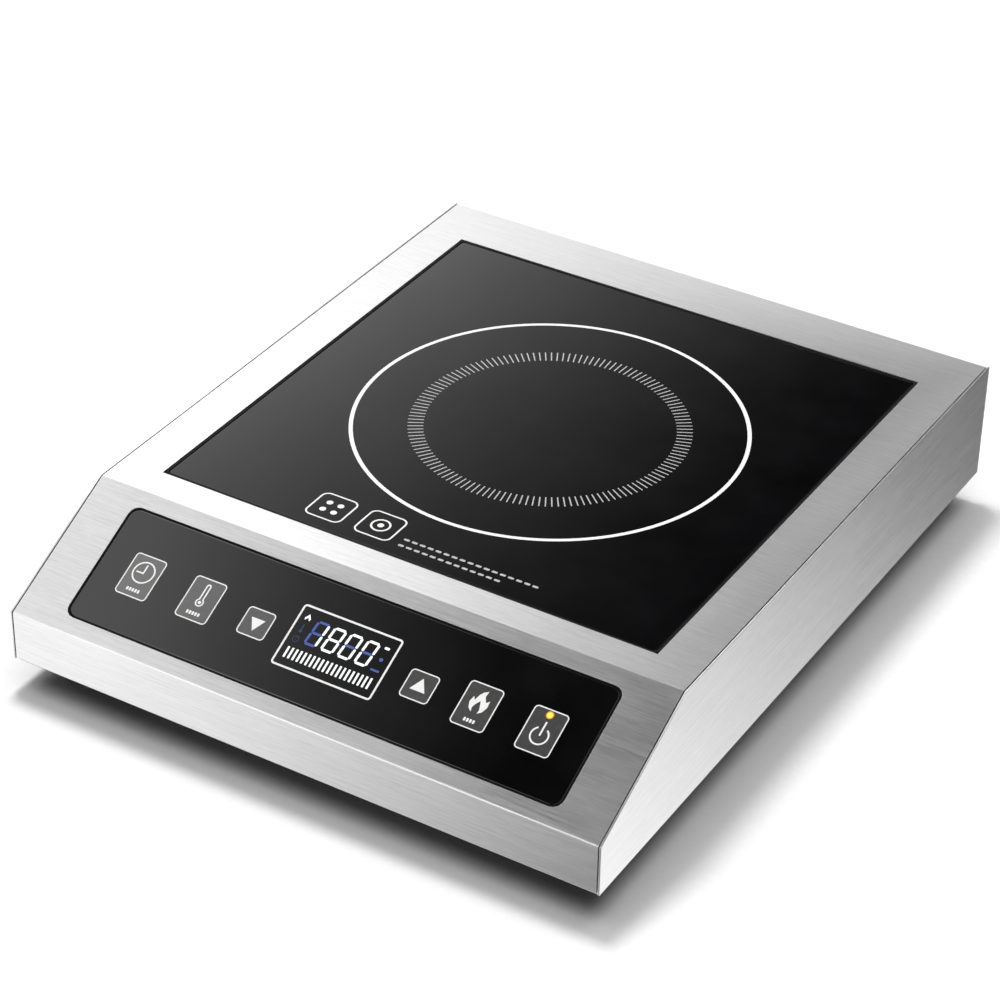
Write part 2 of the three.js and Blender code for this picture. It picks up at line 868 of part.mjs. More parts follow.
// One twisted blade, steep at the hub and flatter at its tip.
function fanBlade(middleZ) {
  const rootRadius = fanHubRadius - 1;
  const length = fanTipRadius + 2 - rootRadius;
  const blade = new THREE.BoxGeometry(length, bladeThickness, bladeChord, 3, 1, 1);
  blade.translate(rootRadius + length / 2, 0, 0);
  const position = blade.attributes.position;
  const point = new THREE.Vector3();
  const radial = new THREE.Vector3(1, 0, 0);
  for (let i = 0; i < position.count; i += 1) {
    point.fromBufferAttribute(position, i);
    const outwards = (point.x - rootRadius) / length;
    point.applyAxisAngle(radial, THREE.MathUtils.degToRad(38 + 16 * outwards));
    position.setXYZ(i, point.x, point.y, point.z + middleZ);
  }
  return blade;
}

// The hub cup and its blades, trimmed to the tip circle and to clear the base and the struts.
function fanRotor() {
  const bottom = fanBottomZ + 2;
  const top = fanBottomZ + fanDepth - strutDepth - 1.5;
  const sweep = solid(rod(fanTipRadius, bottom, top, 24));
  const middleZ = (bottom + top) / 2;
  let rotor = solid(rod(fanHubRadius, bottom, top, 16));
  for (let i = 0; i < bladeCount; i += 1) {
    const blade = fanBlade(middleZ).rotateZ((i * 2 * Math.PI) / bladeCount);
    rotor = rotor.add(solid(blade).intersect(sweep));
  }
  const cup = solid(rod(fanHubRadius - 2, bottom + 2, top + 1, 16));
  return surface(rotor.subtract(cup));
}

// ---- Power electronics --------------------------------------------------------------------

function powerBoard() {
  const outline = roundedRectangle(powerBoardWidth, powerBoardLength, 2, 2);
  return plate(outline, [], boardBottomZ, boardTopZ).translate(0, boardMiddleY, 0);
}

// An extruded heatsink whose fins run front to back, along the fans' stream of air.
function heatsink() {
  const half = heatsinkWidth / 2;
  const bottom = heatsinkBottomZ;
  const baseTop = bottom + heatsinkBase;
  const top = bridgeBottomZ - heatsinkHeadroom;
  const pitch = (heatsinkWidth - finThickness) / (finCount - 1);
  const outline = [
    [-half, bottom],
    [half, bottom],
  ];
  for (let i = finCount - 1; i >= 0; i -= 1) {
    const x = -half + i * pitch;
    outline.push([x + finThickness, i === finCount - 1 ? top : baseTop]);
    if (i < finCount - 1) outline.push([x + finThickness, top]);
    outline.push([x, top]);
    if (i > 0) outline.push([x, baseTop]);
  }
  const cleaned = outline.filter(
    ([x, z], i) => i === 0 || x !== outline[i - 1][0] || z !== outline[i - 1][1],
  );
  const back = boardMiddleY + heatsinkLength / 2;
  const body = uprightPlate(cleaned, [], back - heatsinkLength, back);
  return body.translate(heatsinkX, 0, 0);
}

// A flat power package that lies on the board, under the heatsink.
function powerChip(width, length, x, y) {
  const outline = roundedRectangle(width, length, 1, 1);
  const bottom = boardTopZ + fitGap;
  return plate(outline, [], bottom, bottom + chipHeight).translate(x, y, 0);
}

// An upright film capacitor that stops a headroom below the coil bridge.
function filmCapacitor(width, length, headroom, y) {
  const outline = roundedRectangle(width, length, 2, 2);
  const body = plate(outline, [], boardTopZ + fitGap, bridgeBottomZ - headroom);
  return body.translate(supplySideX, y, 0);
}

// A ring core wound with wire, lying flat.
function chokeCoil(y) {
  const tube = 6;
  const torus = new THREE.TorusGeometry(13, tube, 8, 18);
  return torus.translate(supplySideX, y, boardTopZ + fitGap + tube);
}

// A two-step block with three poles, at the gland's side of the base.
function terminalBlock(x, y) {
  const bottom = baseTopZ + fitGap;
  const foot = block(x - 20, x + 20, y - 9, y + 9, bottom, bottom + 10);
  const crest = block(x - 20, x + 20, y - 5, y + 5, bottom + 9, bottom + 18);
  const clefts = [-7, 7].map((shift) =>
    block(x + shift - 1, x + shift + 1, y - 12, y + 12, bottom + 12, bottom + 22),
  );
  return cut(join([foot, crest]), clefts);
}

// A flat cable from the control board, down between the fans, to the power board.
function ribbonCable() {
  const width = 16;
  const thickness = 1;
  const boardBack = new THREE.Vector3(0, 5, panelBoardTop - boardThickness - 1);
  boardBack.applyMatrix4(slopePlace());
  const route = [
    [0, boardBack.y, boardBack.z],
    [0, boardBack.y + 4, boardBack.z - 10],
    [0, slopeTopY - 2, baseTopZ + 16],
    [0, fanY - 20, baseTopZ + 5],
    [0, fanY + fanSize / 4, baseTopZ + 5],
    [0, boardFrontY - 8, boardTopZ + 1],
    [0, boardFrontY + 6, boardTopZ + 2],
  ];
  const curve = new THREE.CatmullRomCurve3(route.map(([x, y, z]) => new THREE.Vector3(x, y, z)));
  const section = [
    [-width / 2, -thickness / 2],
    [width / 2, -thickness / 2],
    [width / 2, thickness / 2],
    [-width / 2, thickness / 2],
  ];
  return swept(section, curve, 24);
}

// ---- Feet, screws and gland ---------------------------------------------------------------

// A tapered rubber foot with a counterbore for its screw.
function foot() {
  const screwHole = screwRadius + screwClearance;
  const profile = [
    [footCounterboreRadius, 0],
    [footBottomRadius - 0.8, 0],
    [footBottomRadius, 0.8],
    [footTopRadius, footTopZ],
    [screwHole, footTopZ],
    [screwHole, footCounterbore],
    [footCounterboreRadius, footCounterbore],
    [footCounterboreRadius, 0],
  ];
  return turned(profile, 20);
}

function footScrew() {
  const headTop = footCounterbore - fitGap;
  const tip = baseTopZ + 4;
  const profile = [
    [0, headTop - screwHeadHeight],
    [screwHeadRadius - 1, headTop - screwHeadHeight],
    [screwHeadRadius, headTop - screwHeadHeight + 1],
    [screwHeadRadius, headTop],
    [screwRadius, headTop],
    [screwRadius, tip - 1],
    [0, tip],
  ];
  return turned(profile, 12);
}

// A pan-head screw through the rear flange, turned about Y.
function rearScrew() {
  const shank = rearScrewRadius;
  const head = 3.4;
  const profile = [
    [0, -8],
    [shank, -7],
    [shank, fitGap],
    [head, fitGap],
    [head, fitGap + 0.9],
    [head - 1.2, fitGap + 1.8],
    [0, fitGap + 2],
  ];
  return turned(profile, 12).rotateX(-Math.PI / 2);
}

// The gland's outer half stands out of the rear panel, and its thread passes through it.
function cordGland() {
  const outerFace = fitGap;
  const end = glandProud + (rear - rearPanelOuterY);
  const profile = [
    [glandBoreRadius, -14],
    [glandThreadRadius, -14],
    [glandThreadRadius, outerFace],
    [glandFlangeRadius, outerFace],
    [glandFlangeRadius, outerFace + 3],
    [9, outerFace + 3.5],
    [7, end],
    [glandBoreRadius, end],
    [glandBoreRadius, -14],
  ];
  return turned(profile, 20).rotateX(-Math.PI / 2);
}

function glandNut() {
  const thickness = 5;
  const outline = ringPoints(12, 6);
  const hole = ringPoints(glandThreadRadius + fitGap + 0.2, 20);
  const nut = plate(outline, [hole], -sheet - fitGap - thickness, -sheet - fitGap);
  return nut.rotateX(-Math.PI / 2);
}

// ---- Assembly -----------------------------------------------------------------------------

const cooktop = new THREE.Group();

function add(name, geometry, finish, parent = cooktop) {
  const mesh = new THREE.Mesh(geometry, new THREE.MeshStandardMaterial(finish));
  mesh.name = name;
  parent.add(mesh);
  return mesh;
}

function groupAt(x, y, z) {
  const group = new THREE.Group();
  group.position.set(x, y, z);
  cooktop.add(group);
  return group;
}

// Housing
add("top_cover", topCover(), finishes.steel);
add("side_panel_left", sidePanel(-1), finishes.steel);
add("side_panel_right", sidePanel(1), finishes.steel);
add("rear_panel", rearPanel(), finishes.steel);
add("base_plate", basePlate(), finishes.zincSheet);

// Hob glass and coil stack
const hob = groupAt(0, hobY, 0);
add("glass_plate", hobGlass(), finishes.blackGlass, hob);
add("glass_seal", hobSeal(), finishes.blackSilicone, hob);
add("glass_support", hobSupport(), finishes.zincSheet, hob);
add("mica_sheet", micaSheet(), finishes.mica, hob);
add("coil_winding", coilWinding(), finishes.copper, hob);
add("coil_carrier", coilCarrier(), finishes.blackPlastic, hob);
add("coil_bridge", coilBridge(), finishes.aluminium, hob);
add("temperature_sensor", temperatureSensor(), finishes.whitePlastic, hob);
add("sensor_spring", sensorSpring(), finishes.springSteel, hob);
add("coil_lead_outer", outerCoilLead(), finishes.leadRed, hob);
add("coil_lead_inner", innerCoilLead(), finishes.leadRed, hob);
for (let i = 0; i < ferriteCount; i += 1) {
  add(`ferrite_bar_${i + 1}`, ferriteBar(i), finishes.ferrite, hob);
}

// Control panel
const slope = new THREE.Group();
slope.applyMatrix4(slopePlace());
cooktop.add(slope);
add("control_glass", controlGlass(), finishes.blackGlass, slope);
add("control_seal", controlSeal(), finishes.blackSilicone, slope);
add("control_support", controlSupport(), finishes.zincSheet, slope);
add("control_board", controlBoard(), finishes.boardGreen, slope);
add("display_module", displayModule(), finishes.displayBlack, slope);
add("power_lamp", powerLamp(), finishes.amberLens, slope);
for (const key of touchKeys) {
  add(`touch_spring_${key.name}`, touchSpring(key.x), finishes.springSteel, slope);
}

// Fans
for (const place of fanPlaces) {
  const fan = groupAt(place.x, fanY, 0);
  add(`fan_frame_${place.name}`, fanFrame(), finishes.blackPlastic, fan);
  add(`fan_rotor_${place.name}`, fanRotor(), finishes.blackPlastic, fan);
}

// Power electronics
add("power_board", powerBoard(), finishes.boardGreen);
add("heatsink", heatsink(), finishes.aluminium);
add("power_transistor", powerChip(16, 20, heatsinkX - 18, boardMiddleY), finishes.blackPlastic);
add("rectifier_bridge", powerChip(24, 18, heatsinkX + 18, boardMiddleY), finishes.blackPlastic);
add(
  "resonant_capacitor",
  filmCapacitor(44, 22, resonantHeadroom, boardMiddleY - 35),
  finishes.capacitorYellow,
);
add(
  "filter_capacitor",
  filmCapacitor(40, 18, filterHeadroom, boardMiddleY - 6),
  finishes.capacitorYellow,
);
add("choke_coil", chokeCoil(boardMiddleY + 32), finishes.copper);
add("terminal_block", terminalBlock(60, rear - 38), finishes.whitePlastic);
add("ribbon_cable", ribbonCable(), finishes.ribbonGrey);

// Feet, screws and gland
for (const place of footPlaces) {
  const corner = groupAt(place.x, place.y, 0);
  add(`foot_${place.name}`, foot(), finishes.rubber, corner);
  add(`foot_screw_${place.name}`, footScrew(), finishes.springSteel, corner);
}
const glandGroup = groupAt(0, rearPanelOuterY, glandZ);
add("cord_gland", cordGland(), finishes.blackPlastic, glandGroup);
add("gland_nut", glandNut(), finishes.blackPlastic, glandGroup);
for (const [index, x] of rearScrewXs.entries()) {
  add(`rear_screw_${index + 1}`, rearScrew(), finishes.springSteel, groupAt(x, rear, rearScrewZ));
}

export default cooktop;
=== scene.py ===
# %% [markdown]
# # An induction cooktop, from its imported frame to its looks
# The engineering model is a set of closed solids. This lesson loads them as a fixed frame,
# rounds the edges that catch the light, and gives every piece its finish: brushed steel,
# black glass, enamel print, silicone, rubber and the plainer parts inside.

# %% Load the frame
import math

import bmesh
import bpy
from mathutils import Matrix, Vector


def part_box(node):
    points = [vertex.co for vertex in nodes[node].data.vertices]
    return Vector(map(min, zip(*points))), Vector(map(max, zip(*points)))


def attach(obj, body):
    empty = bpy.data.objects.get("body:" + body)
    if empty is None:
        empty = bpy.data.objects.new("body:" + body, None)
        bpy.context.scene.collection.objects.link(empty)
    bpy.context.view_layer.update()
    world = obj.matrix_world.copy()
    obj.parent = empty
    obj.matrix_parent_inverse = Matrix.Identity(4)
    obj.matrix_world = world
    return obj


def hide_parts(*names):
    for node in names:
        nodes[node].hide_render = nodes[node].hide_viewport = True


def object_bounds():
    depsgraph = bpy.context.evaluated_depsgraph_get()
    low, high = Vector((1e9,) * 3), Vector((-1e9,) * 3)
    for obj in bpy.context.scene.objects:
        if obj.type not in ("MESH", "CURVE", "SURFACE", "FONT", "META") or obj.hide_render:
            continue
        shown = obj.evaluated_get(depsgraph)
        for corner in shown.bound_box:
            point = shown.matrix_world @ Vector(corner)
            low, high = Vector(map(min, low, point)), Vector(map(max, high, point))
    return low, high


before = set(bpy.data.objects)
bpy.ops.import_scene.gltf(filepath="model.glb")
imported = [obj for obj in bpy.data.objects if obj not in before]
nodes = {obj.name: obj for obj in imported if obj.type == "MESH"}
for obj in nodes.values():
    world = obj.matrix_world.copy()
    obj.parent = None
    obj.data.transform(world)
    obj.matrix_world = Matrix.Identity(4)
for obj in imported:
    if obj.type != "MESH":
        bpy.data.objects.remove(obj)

MM = 0.001
scene = bpy.context.scene
cad_low, cad_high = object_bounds()
print("nodes", len(nodes), "size", [round(s, 4) for s in cad_high - cad_low])

# %% [markdown]
# ## Where things are
# Two surfaces carry print: the hob glass, which lies flat, and the control glass, which
# leans towards the cook. Each gets a place matrix, so that print can be drawn flat in
# millimetres and then laid on the surface. Reading the lean from the frame, not typing it in,
# keeps the print on the glass if the housing ever changes.


# %% Place matrices of the two glasses
def top_face_place(node):
    """A matrix whose X, Y and Z are right, up the surface, and out of it, at the face's middle."""
    mesh = nodes[node].data
    steepest = max(mesh.polygons, key=lambda face: face.area * max(face.normal.z, 0))
    out = steepest.normal.normalized()
    level = [v.co for v in mesh.vertices if abs((v.co - steepest.center).dot(out)) < 0.02 * MM]
    low = Vector(min(point[axis] for point in level) for axis in range(3))
    high = Vector(max(point[axis] for point in level) for axis in range(3))
    right = Vector((1, 0, 0))
    up = out.cross(right)
    place = Matrix((right, up, out)).transposed().to_4x4()
    place.translation = (low + high) / 2
    return place


hob_place = top_face_place("glass_plate")
panel_place = top_face_place("control_glass")
print("hob glass at", hob_place.translation, "control glass at", panel_place.translation)
print("lean", round(math.degrees(hob_place.to_3x3().col[2].angle(panel_place.to_3x3().col[2])), 2))

# %% [markdown]
# ## One way to mix a finish
# A real surface is never one flat colour. Each finish here starts from the same recipe: noise
# stretched along the direction in which the part was brushed, rolled or moulded drives a small
# change of colour, of roughness and of height. Image textures could do it too, but noise needs
# no files and has no edges or seams.


# %% Finish helpers
def node_of(tree, kind, **settings):
    node = tree.nodes.new(kind)
    for name, value in settings.items():
        setattr(node, name, value)
    return node


def grain(tree, scale, stretch=(1, 1, 1), detail=4.0):
    """Noise in the piece's own coordinates, as a value from 0 to 1."""
    coordinates = node_of(tree, "ShaderNodeTexCoord")
    mapping = node_of(tree, "ShaderNodeMapping")
    noise = node_of(tree, "ShaderNodeTexNoise")
    mapping.inputs["Scale"].default_value = stretch
    noise.inputs["Scale"].default_value = scale
    noise.inputs["Detail"].default_value = detail
    tree.links.new(coordinates.outputs["Object"], mapping.inputs["Vector"])
    tree.links.new(mapping.outputs["Vector"], noise.inputs["Vector"])
    return noise.outputs["Fac"]


def spread(tree, value, low, high, start=0.3, end=0.7):
    """Maps a grain, which mostly lies between start and end, to low..high."""
    mapped = node_of(tree, "ShaderNodeMapRange")
    mapped.inputs["From Min"].default_value = start
    mapped.inputs["From Max"].default_value = end
    mapped.inputs["To Min"].default_value = low
    mapped.inputs["To Max"].default_value = high
    tree.links.new(value, mapped.inputs["Value"])
    return mapped.outputs["Result"]


def two_colours(tree, value, dark, light, start=0.3, end=0.7):
    ramp = node_of(tree, "ShaderNodeValToRGB")
    ramp.color_ramp.elements[0].position = start
    ramp.color_ramp.elements[1].position = end
    ramp.color_ramp.elements[0].color = (*dark, 1)
    ramp.color_ramp.elements[1].color = (*light, 1)
    tree.links.new(value, ramp.inputs["Fac"])
    return ramp.outputs["Color"]


def height_from(tree, value, distance, strength=1.0):
    bump = node_of(tree, "ShaderNodeBump")
    bump.inputs["Distance"].default_value = distance
    bump.inputs["Strength"].default_value = strength
    tree.links.new(value, bump.inputs["Height"])
    return bump.outputs["Normal"]


def finish(name, dark, light, rough, scale, stretch=(1, 1, 1), bump=0.00002, **settings):
    """A material with grain in its colour, roughness and height; settings go on the shader."""
    material = bpy.data.materials.new(name)
    material.use_nodes = True
    tree = material.node_tree
    shader = tree.nodes["Principled BSDF"]
    for socket, value in settings.items():
        shader.inputs[socket.replace("_", " ")].default_value = value
    pattern = grain(tree, scale, stretch)
    links = tree.links
    links.new(two_colours(tree, pattern, dark, light), shader.inputs["Base Color"])
    links.new(spread(tree, pattern, *rough), shader.inputs["Roughness"])
    links.new(height_from(tree, pattern, bump), shader.inputs["Normal"])
    return material


print("finish helpers ready")

# %% [markdown]
# ## Brushed stainless steel
# The sheet is brushed with an abrasive belt before it is folded, which leaves fine parallel
# scratches. They smear reflections across the brushing direction, so the shader is anisotropic,
# and its tangent follows the brush. Long and short scratches are two noises, both stretched
# along the brush. The cover is brushed from side to side, the side and rear panels along
# their length.


# %% Steel
def brushed_steel(name, along, tangent_axis):
    """along is the brush direction as a unit vector; across it the noise is many times finer."""
    material = bpy.data.materials.new(name)
    material.use_nodes = True
    tree = material.node_tree
    links = tree.links
    shader = tree.nodes["Principled BSDF"]
    shader.inputs["Metallic"].default_value = 1.0
    shader.inputs["Anisotropic"].default_value = 0.75
    long_stretch = [0.025 if step else 1.0 for step in along]
    short_stretch = [0.05 if step else 1.0 for step in along]
    long_scratches = grain(tree, 1300, long_stretch, 3.0)
    short_scratches = grain(tree, 3000, short_stretch, 2.0)
    clouding = grain(tree, 14, (1, 1, 1), 2.0)
    mix = node_of(tree, "ShaderNodeMix")
    mix.inputs["Factor"].default_value = 0.45
    links.new(long_scratches, mix.inputs["A"])
    links.new(short_scratches, mix.inputs["B"])
    scratches = mix.outputs["Result"]
    steel_colour = two_colours(tree, scratches, (0.575, 0.575, 0.575), (0.695, 0.695, 0.695), 0.36, 0.64)
    links.new(steel_colour, shader.inputs["Base Color"])
    blend = node_of(tree, "ShaderNodeMix")
    blend.inputs["Factor"].default_value = 0.25
    links.new(scratches, blend.inputs["A"])
    links.new(clouding, blend.inputs["B"])
    links.new(spread(tree, blend.outputs["Result"], 0.27, 0.38), shader.inputs["Roughness"])
    links.new(height_from(tree, scratches, 0.000004, 0.6), shader.inputs["Normal"])
    tangent = node_of(tree, "ShaderNodeTangent", direction_type="RADIAL", axis=tangent_axis)
    links.new(tangent.outputs["Tangent"], shader.inputs["Tangent"])
    return material


cover_steel = brushed_steel("cover_steel", (1, 0, 0), "X")
side_steel = brushed_steel("side_steel", (0, 1, 0), "Y")
rear_steel = brushed_steel("rear_steel", (1, 0, 0), "X")
zinc_sheet = finish(
    "zinc_sheet", (0.43, 0.43, 0.435), (0.57, 0.57, 0.58), (0.36, 0.55), 90, Metallic=1.0
)
print("steel", cover_steel.name, side_steel.name, rear_steel.name)

# %% [markdown]
# ## Black glass and what is printed on it
# Glass-ceramic is melted through with dark pigment and polished, so it is nearly black and
# mirror smooth, with only a trace of haze. The print is a ceramic enamel fired onto it: matt,
# white, and a few hundredths of a millimetre thick. Modelling the print as thin solids keeps
# its edges sharp at any distance and lets it catch light as real enamel does.

# %% Glass, enamel and display finishes
GLASS_DARK = (0.002, 0.002, 0.0023)
GLASS_LIGHT = (0.0045, 0.0045, 0.005)
hob_glass = finish(
    "hob_glass", GLASS_DARK, GLASS_LIGHT, (0.03, 0.055), 30, bump=0.0000003, IOR=1.37
)
control_glass = finish(
    "control_glass", GLASS_DARK, GLASS_LIGHT, (0.03, 0.055), 30, bump=0.0000003, IOR=1.66
)
white_enamel = finish("white_enamel", (0.78, 0.78, 0.77), (0.9, 0.9, 0.89), (0.35, 0.5), 1500)
grey_enamel = finish("grey_enamel", (0.4, 0.4, 0.4), (0.52, 0.52, 0.52), (0.35, 0.5), 1500)
key_film = finish(
    "key_film", (0.062, 0.062, 0.062), (0.076, 0.076, 0.076), (0.04, 0.07), 400, bump=0.0000003, IOR=2.0
)
lit_segment = finish(
    "lit_segment",
    (0.6, 0.62, 0.6),
    (0.72, 0.74, 0.72),
    (0.3, 0.4),
    600,
    Emission_Color=(0.93, 1.0, 0.96, 1),
    Emission_Strength=0.55,
)
idle_segment = finish(
    "idle_segment",
    (0.035, 0.07, 0.27),
    (0.055, 0.095, 0.34),
    (0.3, 0.4),
    600,
    Emission_Color=(0.12, 0.2, 0.85, 1),
    Emission_Strength=0.12,
)
dim_segment = finish("dim_segment", (0.015, 0.03, 0.09), (0.03, 0.05, 0.14), (0.3, 0.4), 600)
amber_glow = finish(
    "amber_glow",
    (0.9, 0.5, 0.03),
    (0.95, 0.62, 0.08),
    (0.2, 0.3),
    500,
    Emission_Color=(1.0, 0.62, 0.05, 1),
    Emission_Strength=0.9,
)
print("glass and print finishes", len(bpy.data.materials))

# %% [markdown]
# ## The plainer finishes
# Silicone is cast smooth, rubber feet come rough from the mould, and the parts inside are what
# an appliance maker buys: green boards, aluminium extrusion, fired ferrite, pressed mica,
# enamelled copper. Each has its own grain size and its own range of roughness.

# %% Other finishes
black_silicone = finish(
    "black_silicone", (0.003, 0.003, 0.003), (0.006, 0.006, 0.006), (0.5, 0.65), 700, Specular_IOR_Level=0.12
)
foot_rubber = finish(
    "foot_rubber", (0.014, 0.014, 0.014), (0.03, 0.03, 0.029), (0.7, 0.9), 1800, bump=0.00008
)
black_plastic = finish(
    "black_plastic", (0.014, 0.014, 0.015), (0.026, 0.026, 0.028), (0.42, 0.6), 2400, bump=0.00004
)
circuit_board = finish(
    "circuit_board", (0.018, 0.11, 0.05), (0.035, 0.2, 0.09), (0.3, 0.5), 160, (1, 6, 1)
)
display_plastic = finish(
    "display_plastic", (0.01, 0.01, 0.013), (0.018, 0.018, 0.024), (0.12, 0.25), 400
)
amber_lens = finish("amber_lens", (0.8, 0.33, 0.02), (0.95, 0.45, 0.05), (0.15, 0.25), 900)
spring_steel = finish(
    "spring_steel", (0.6, 0.6, 0.58), (0.75, 0.75, 0.72), (0.2, 0.35), 900, Metallic=1.0
)
screw_steel = finish(
    "screw_steel", (0.5, 0.5, 0.5), (0.66, 0.66, 0.65), (0.25, 0.42), 1200, Metallic=1.0
)
copper_wire = finish(
    "copper_wire", (0.42, 0.15, 0.06), (0.68, 0.32, 0.15), (0.25, 0.45), 1400, Metallic=1.0
)
ferrite = finish("ferrite", (0.04, 0.04, 0.044), (0.085, 0.085, 0.09), (0.6, 0.8), 1100)
mica = finish("mica", (0.5, 0.44, 0.36), (0.76, 0.7, 0.6), (0.4, 0.7), 120, (1, 1, 5))
aluminium = finish(
    "aluminium", (0.56, 0.57, 0.59), (0.72, 0.73, 0.75), (0.3, 0.45), 500, (1, 0.04, 1), Metallic=1.0
)
capacitor_film = finish("capacitor_film", (0.62, 0.38, 0.04), (0.76, 0.5, 0.09), (0.2, 0.35), 200)
white_plastic = finish("white_plastic", (0.72, 0.72, 0.69), (0.84, 0.84, 0.81), (0.4, 0.6), 1500)
lead_insulation = finish("lead_insulation", (0.26, 0.025, 0.02), (0.4, 0.05, 0.035), (0.4, 0.6), 900)
ribbon_insulation = finish(
    "ribbon_insulation", (0.24, 0.25, 0.27), (0.42, 0.43, 0.45), (0.4, 0.6), 700, (1.0, 0.02, 0.02)
)
print("materials", len(bpy.data.materials))

# %% [markdown]
# ## Finishes for the nodes that stay as they are
# Most nodes already have the right shape, so they only swap their placeholder for a finish.

# %% Give every node its finish
node_finishes = {
    "base_plate": zinc_sheet,
    "glass_support": zinc_sheet,
    "control_support": zinc_sheet,
    "glass_seal": black_silicone,
    "control_seal": black_silicone,
    "mica_sheet": mica,
    "coil_winding": copper_wire,
    "choke_coil": copper_wire,
    "coil_carrier": black_plastic,
    "coil_bridge": aluminium,
    "heatsink": aluminium,
    "temperature_sensor": white_plastic,
    "terminal_block": white_plastic,
    "sensor_spring": spring_steel,
    "control_board": circuit_board,
    "power_board": circuit_board,
    "display_module": display_plastic,
    "power_lamp": amber_lens,
    "power_transistor": black_plastic,
    "rectifier_bridge": black_plastic,
    "resonant_capacitor": capacitor_film,
    "filter_capacitor": capacitor_film,
    "ribbon_cable": ribbon_insulation,
    "cord_gland": black_plastic,
    "gland_nut": black_plastic,
    "top_cover": cover_steel,
    "side_panel_left": side_steel,
    "side_panel_right": side_steel,
    "rear_panel": rear_steel,
    "glass_plate": hob_glass,
    "control_glass": control_glass,
}
family_finishes = {
    "coil_lead_": lead_insulation,
    "ferrite_bar_": ferrite,
    "touch_spring_": spring_steel,
    "fan_frame_": black_plastic,
    "fan_rotor_": black_plastic,
    "foot_screw_": screw_steel,
    "rear_screw_": screw_steel,
    "foot_": foot_rubber,
}


def finish_of(node):
    if node in node_finishes:
        return node_finishes[node]
    return next(f for prefix, f in family_finishes.items() if node.startswith(prefix))


for name, piece in nodes.items():
    piece.data.materials.clear()
    piece.data.materials.append(finish_of(name))
print("nodes finished", len(nodes))

# %% [markdown]
# ## Rounded edges where they show
# No real sheet or glass edge is perfectly sharp: a fold or a ground edge always carries a thin
# bright line. A welded copy of each visible node gets a small bevel, and shading that is smooth
# over the bends but flat on the faces. The node itself stays as the fixed frame, unseen, and
# the copy stands for it.


# %% Make the rounded copies
def welded_copy(node):
    """A new mesh from a node, with its loose triangles joined and its flat faces whole."""
    welder = bmesh.new()
    welder.from_mesh(nodes[node].data)
    bmesh.ops.remove_doubles(welder, verts=welder.verts, dist=0.001 * MM)
    bmesh.ops.dissolve_limit(
        welder, angle_limit=math.radians(0.4), verts=welder.verts, edges=welder.edges
    )
    welder.verts.index_update()
    mesh = bpy.data.meshes.new(node + "_finished")
    points = [vertex.co[:] for vertex in welder.verts]
    mesh.from_pydata(points, [], [[v.index for v in face.verts] for face in welder.faces])
    welder.free()
    return mesh


def round_over(node, width, segments=2):
    mesh = welded_copy(node)
    mesh.materials.append(finish_of(node))
    mesh.shade_smooth()
    mesh.set_sharp_from_angle(angle=math.radians(32))
    piece = bpy.data.objects.new(node + "_finished", mesh)
    scene.collection.objects.link(piece)
    bevel = piece.modifiers.new("rounded edges", "BEVEL")
    bevel.width = width
    bevel.segments = segments
    bevel.limit_method = "ANGLE"
    bevel.angle_limit = math.radians(40)
    bevel.use_clamp_overlap = True
    bevel.harden_normals = True
    shaped = piece.evaluated_get(bpy.context.evaluated_depsgraph_get())
    piece.data = bpy.data.meshes.new_from_object(shaped)
    piece.modifiers.remove(bevel)
    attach(piece, "housing")
    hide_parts(node)
    return piece


rounded = [
    round_over("top_cover", 0.15 * MM),
    round_over("side_panel_left", 0.25 * MM),
    round_over("side_panel_right", 0.25 * MM),
    round_over("rear_panel", 0.2 * MM),
    round_over("glass_plate", 0.35 * MM, 3),
    round_over("control_glass", 0.3 * MM, 3),
    round_over("glass_seal", 0.25 * MM, 3),
    round_over("control_seal", 0.2 * MM, 3),
    round_over("cord_gland", 0.3 * MM, 3),
]
print("rounded copies", len(rounded))

# %% [markdown]
# ## Cross recesses in the screws
# The rear screws are driven with a cross-head driver, whose recess is punched into the head when
# the screw is forged. A plus-shaped prism that narrows inwards is cut out of a copy of each screw
# with a Boolean, which leaves the head and the shank as they were.

# %% Cut the cross recesses
RECESS_REACH = 1.7 * MM
RECESS_WIDTH = 0.62 * MM
RECESS_DEPTH = 0.9 * MM
RECESS_TAPER = 0.6


def plus_outline(reach, half_width):
    """Twelve corners of a plus, going round."""
    quarter = [(reach, -half_width), (reach, half_width), (half_width, half_width)]
    corners = []
    for _ in range(4):
        corners += quarter
        quarter = [(-b, a) for a, b in quarter]
    return corners


def recess_cutter(x, y, z):
    """A closed prism along Y that starts outside the head and ends RECESS_DEPTH inside it."""
    outer = plus_outline(RECESS_REACH, RECESS_WIDTH / 2)
    points = [(x + a, y + RECESS_DEPTH, z + b) for a, b in outer]
    points += [(x + a * RECESS_TAPER, y - RECESS_DEPTH, z + b * RECESS_TAPER) for a, b in outer]
    count = len(outer)
    faces = [tuple(range(count)), tuple(range(2 * count - 1, count - 1, -1))]
    faces += [(i, (i + 1) % count, (i + 1) % count + count, i + count) for i in range(count)]
    shape = bmesh.new()
    corners = [shape.verts.new(point) for point in points]
    for face in faces:
        shape.faces.new([corners[i] for i in face])
    bmesh.ops.recalc_face_normals(shape, faces=shape.faces)
    mesh = bpy.data.meshes.new("recess_cutter")
    shape.to_mesh(mesh)
    shape.free()
    cutter = bpy.data.objects.new("recess_cutter", mesh)
    scene.collection.objects.link(cutter)
    return cutter


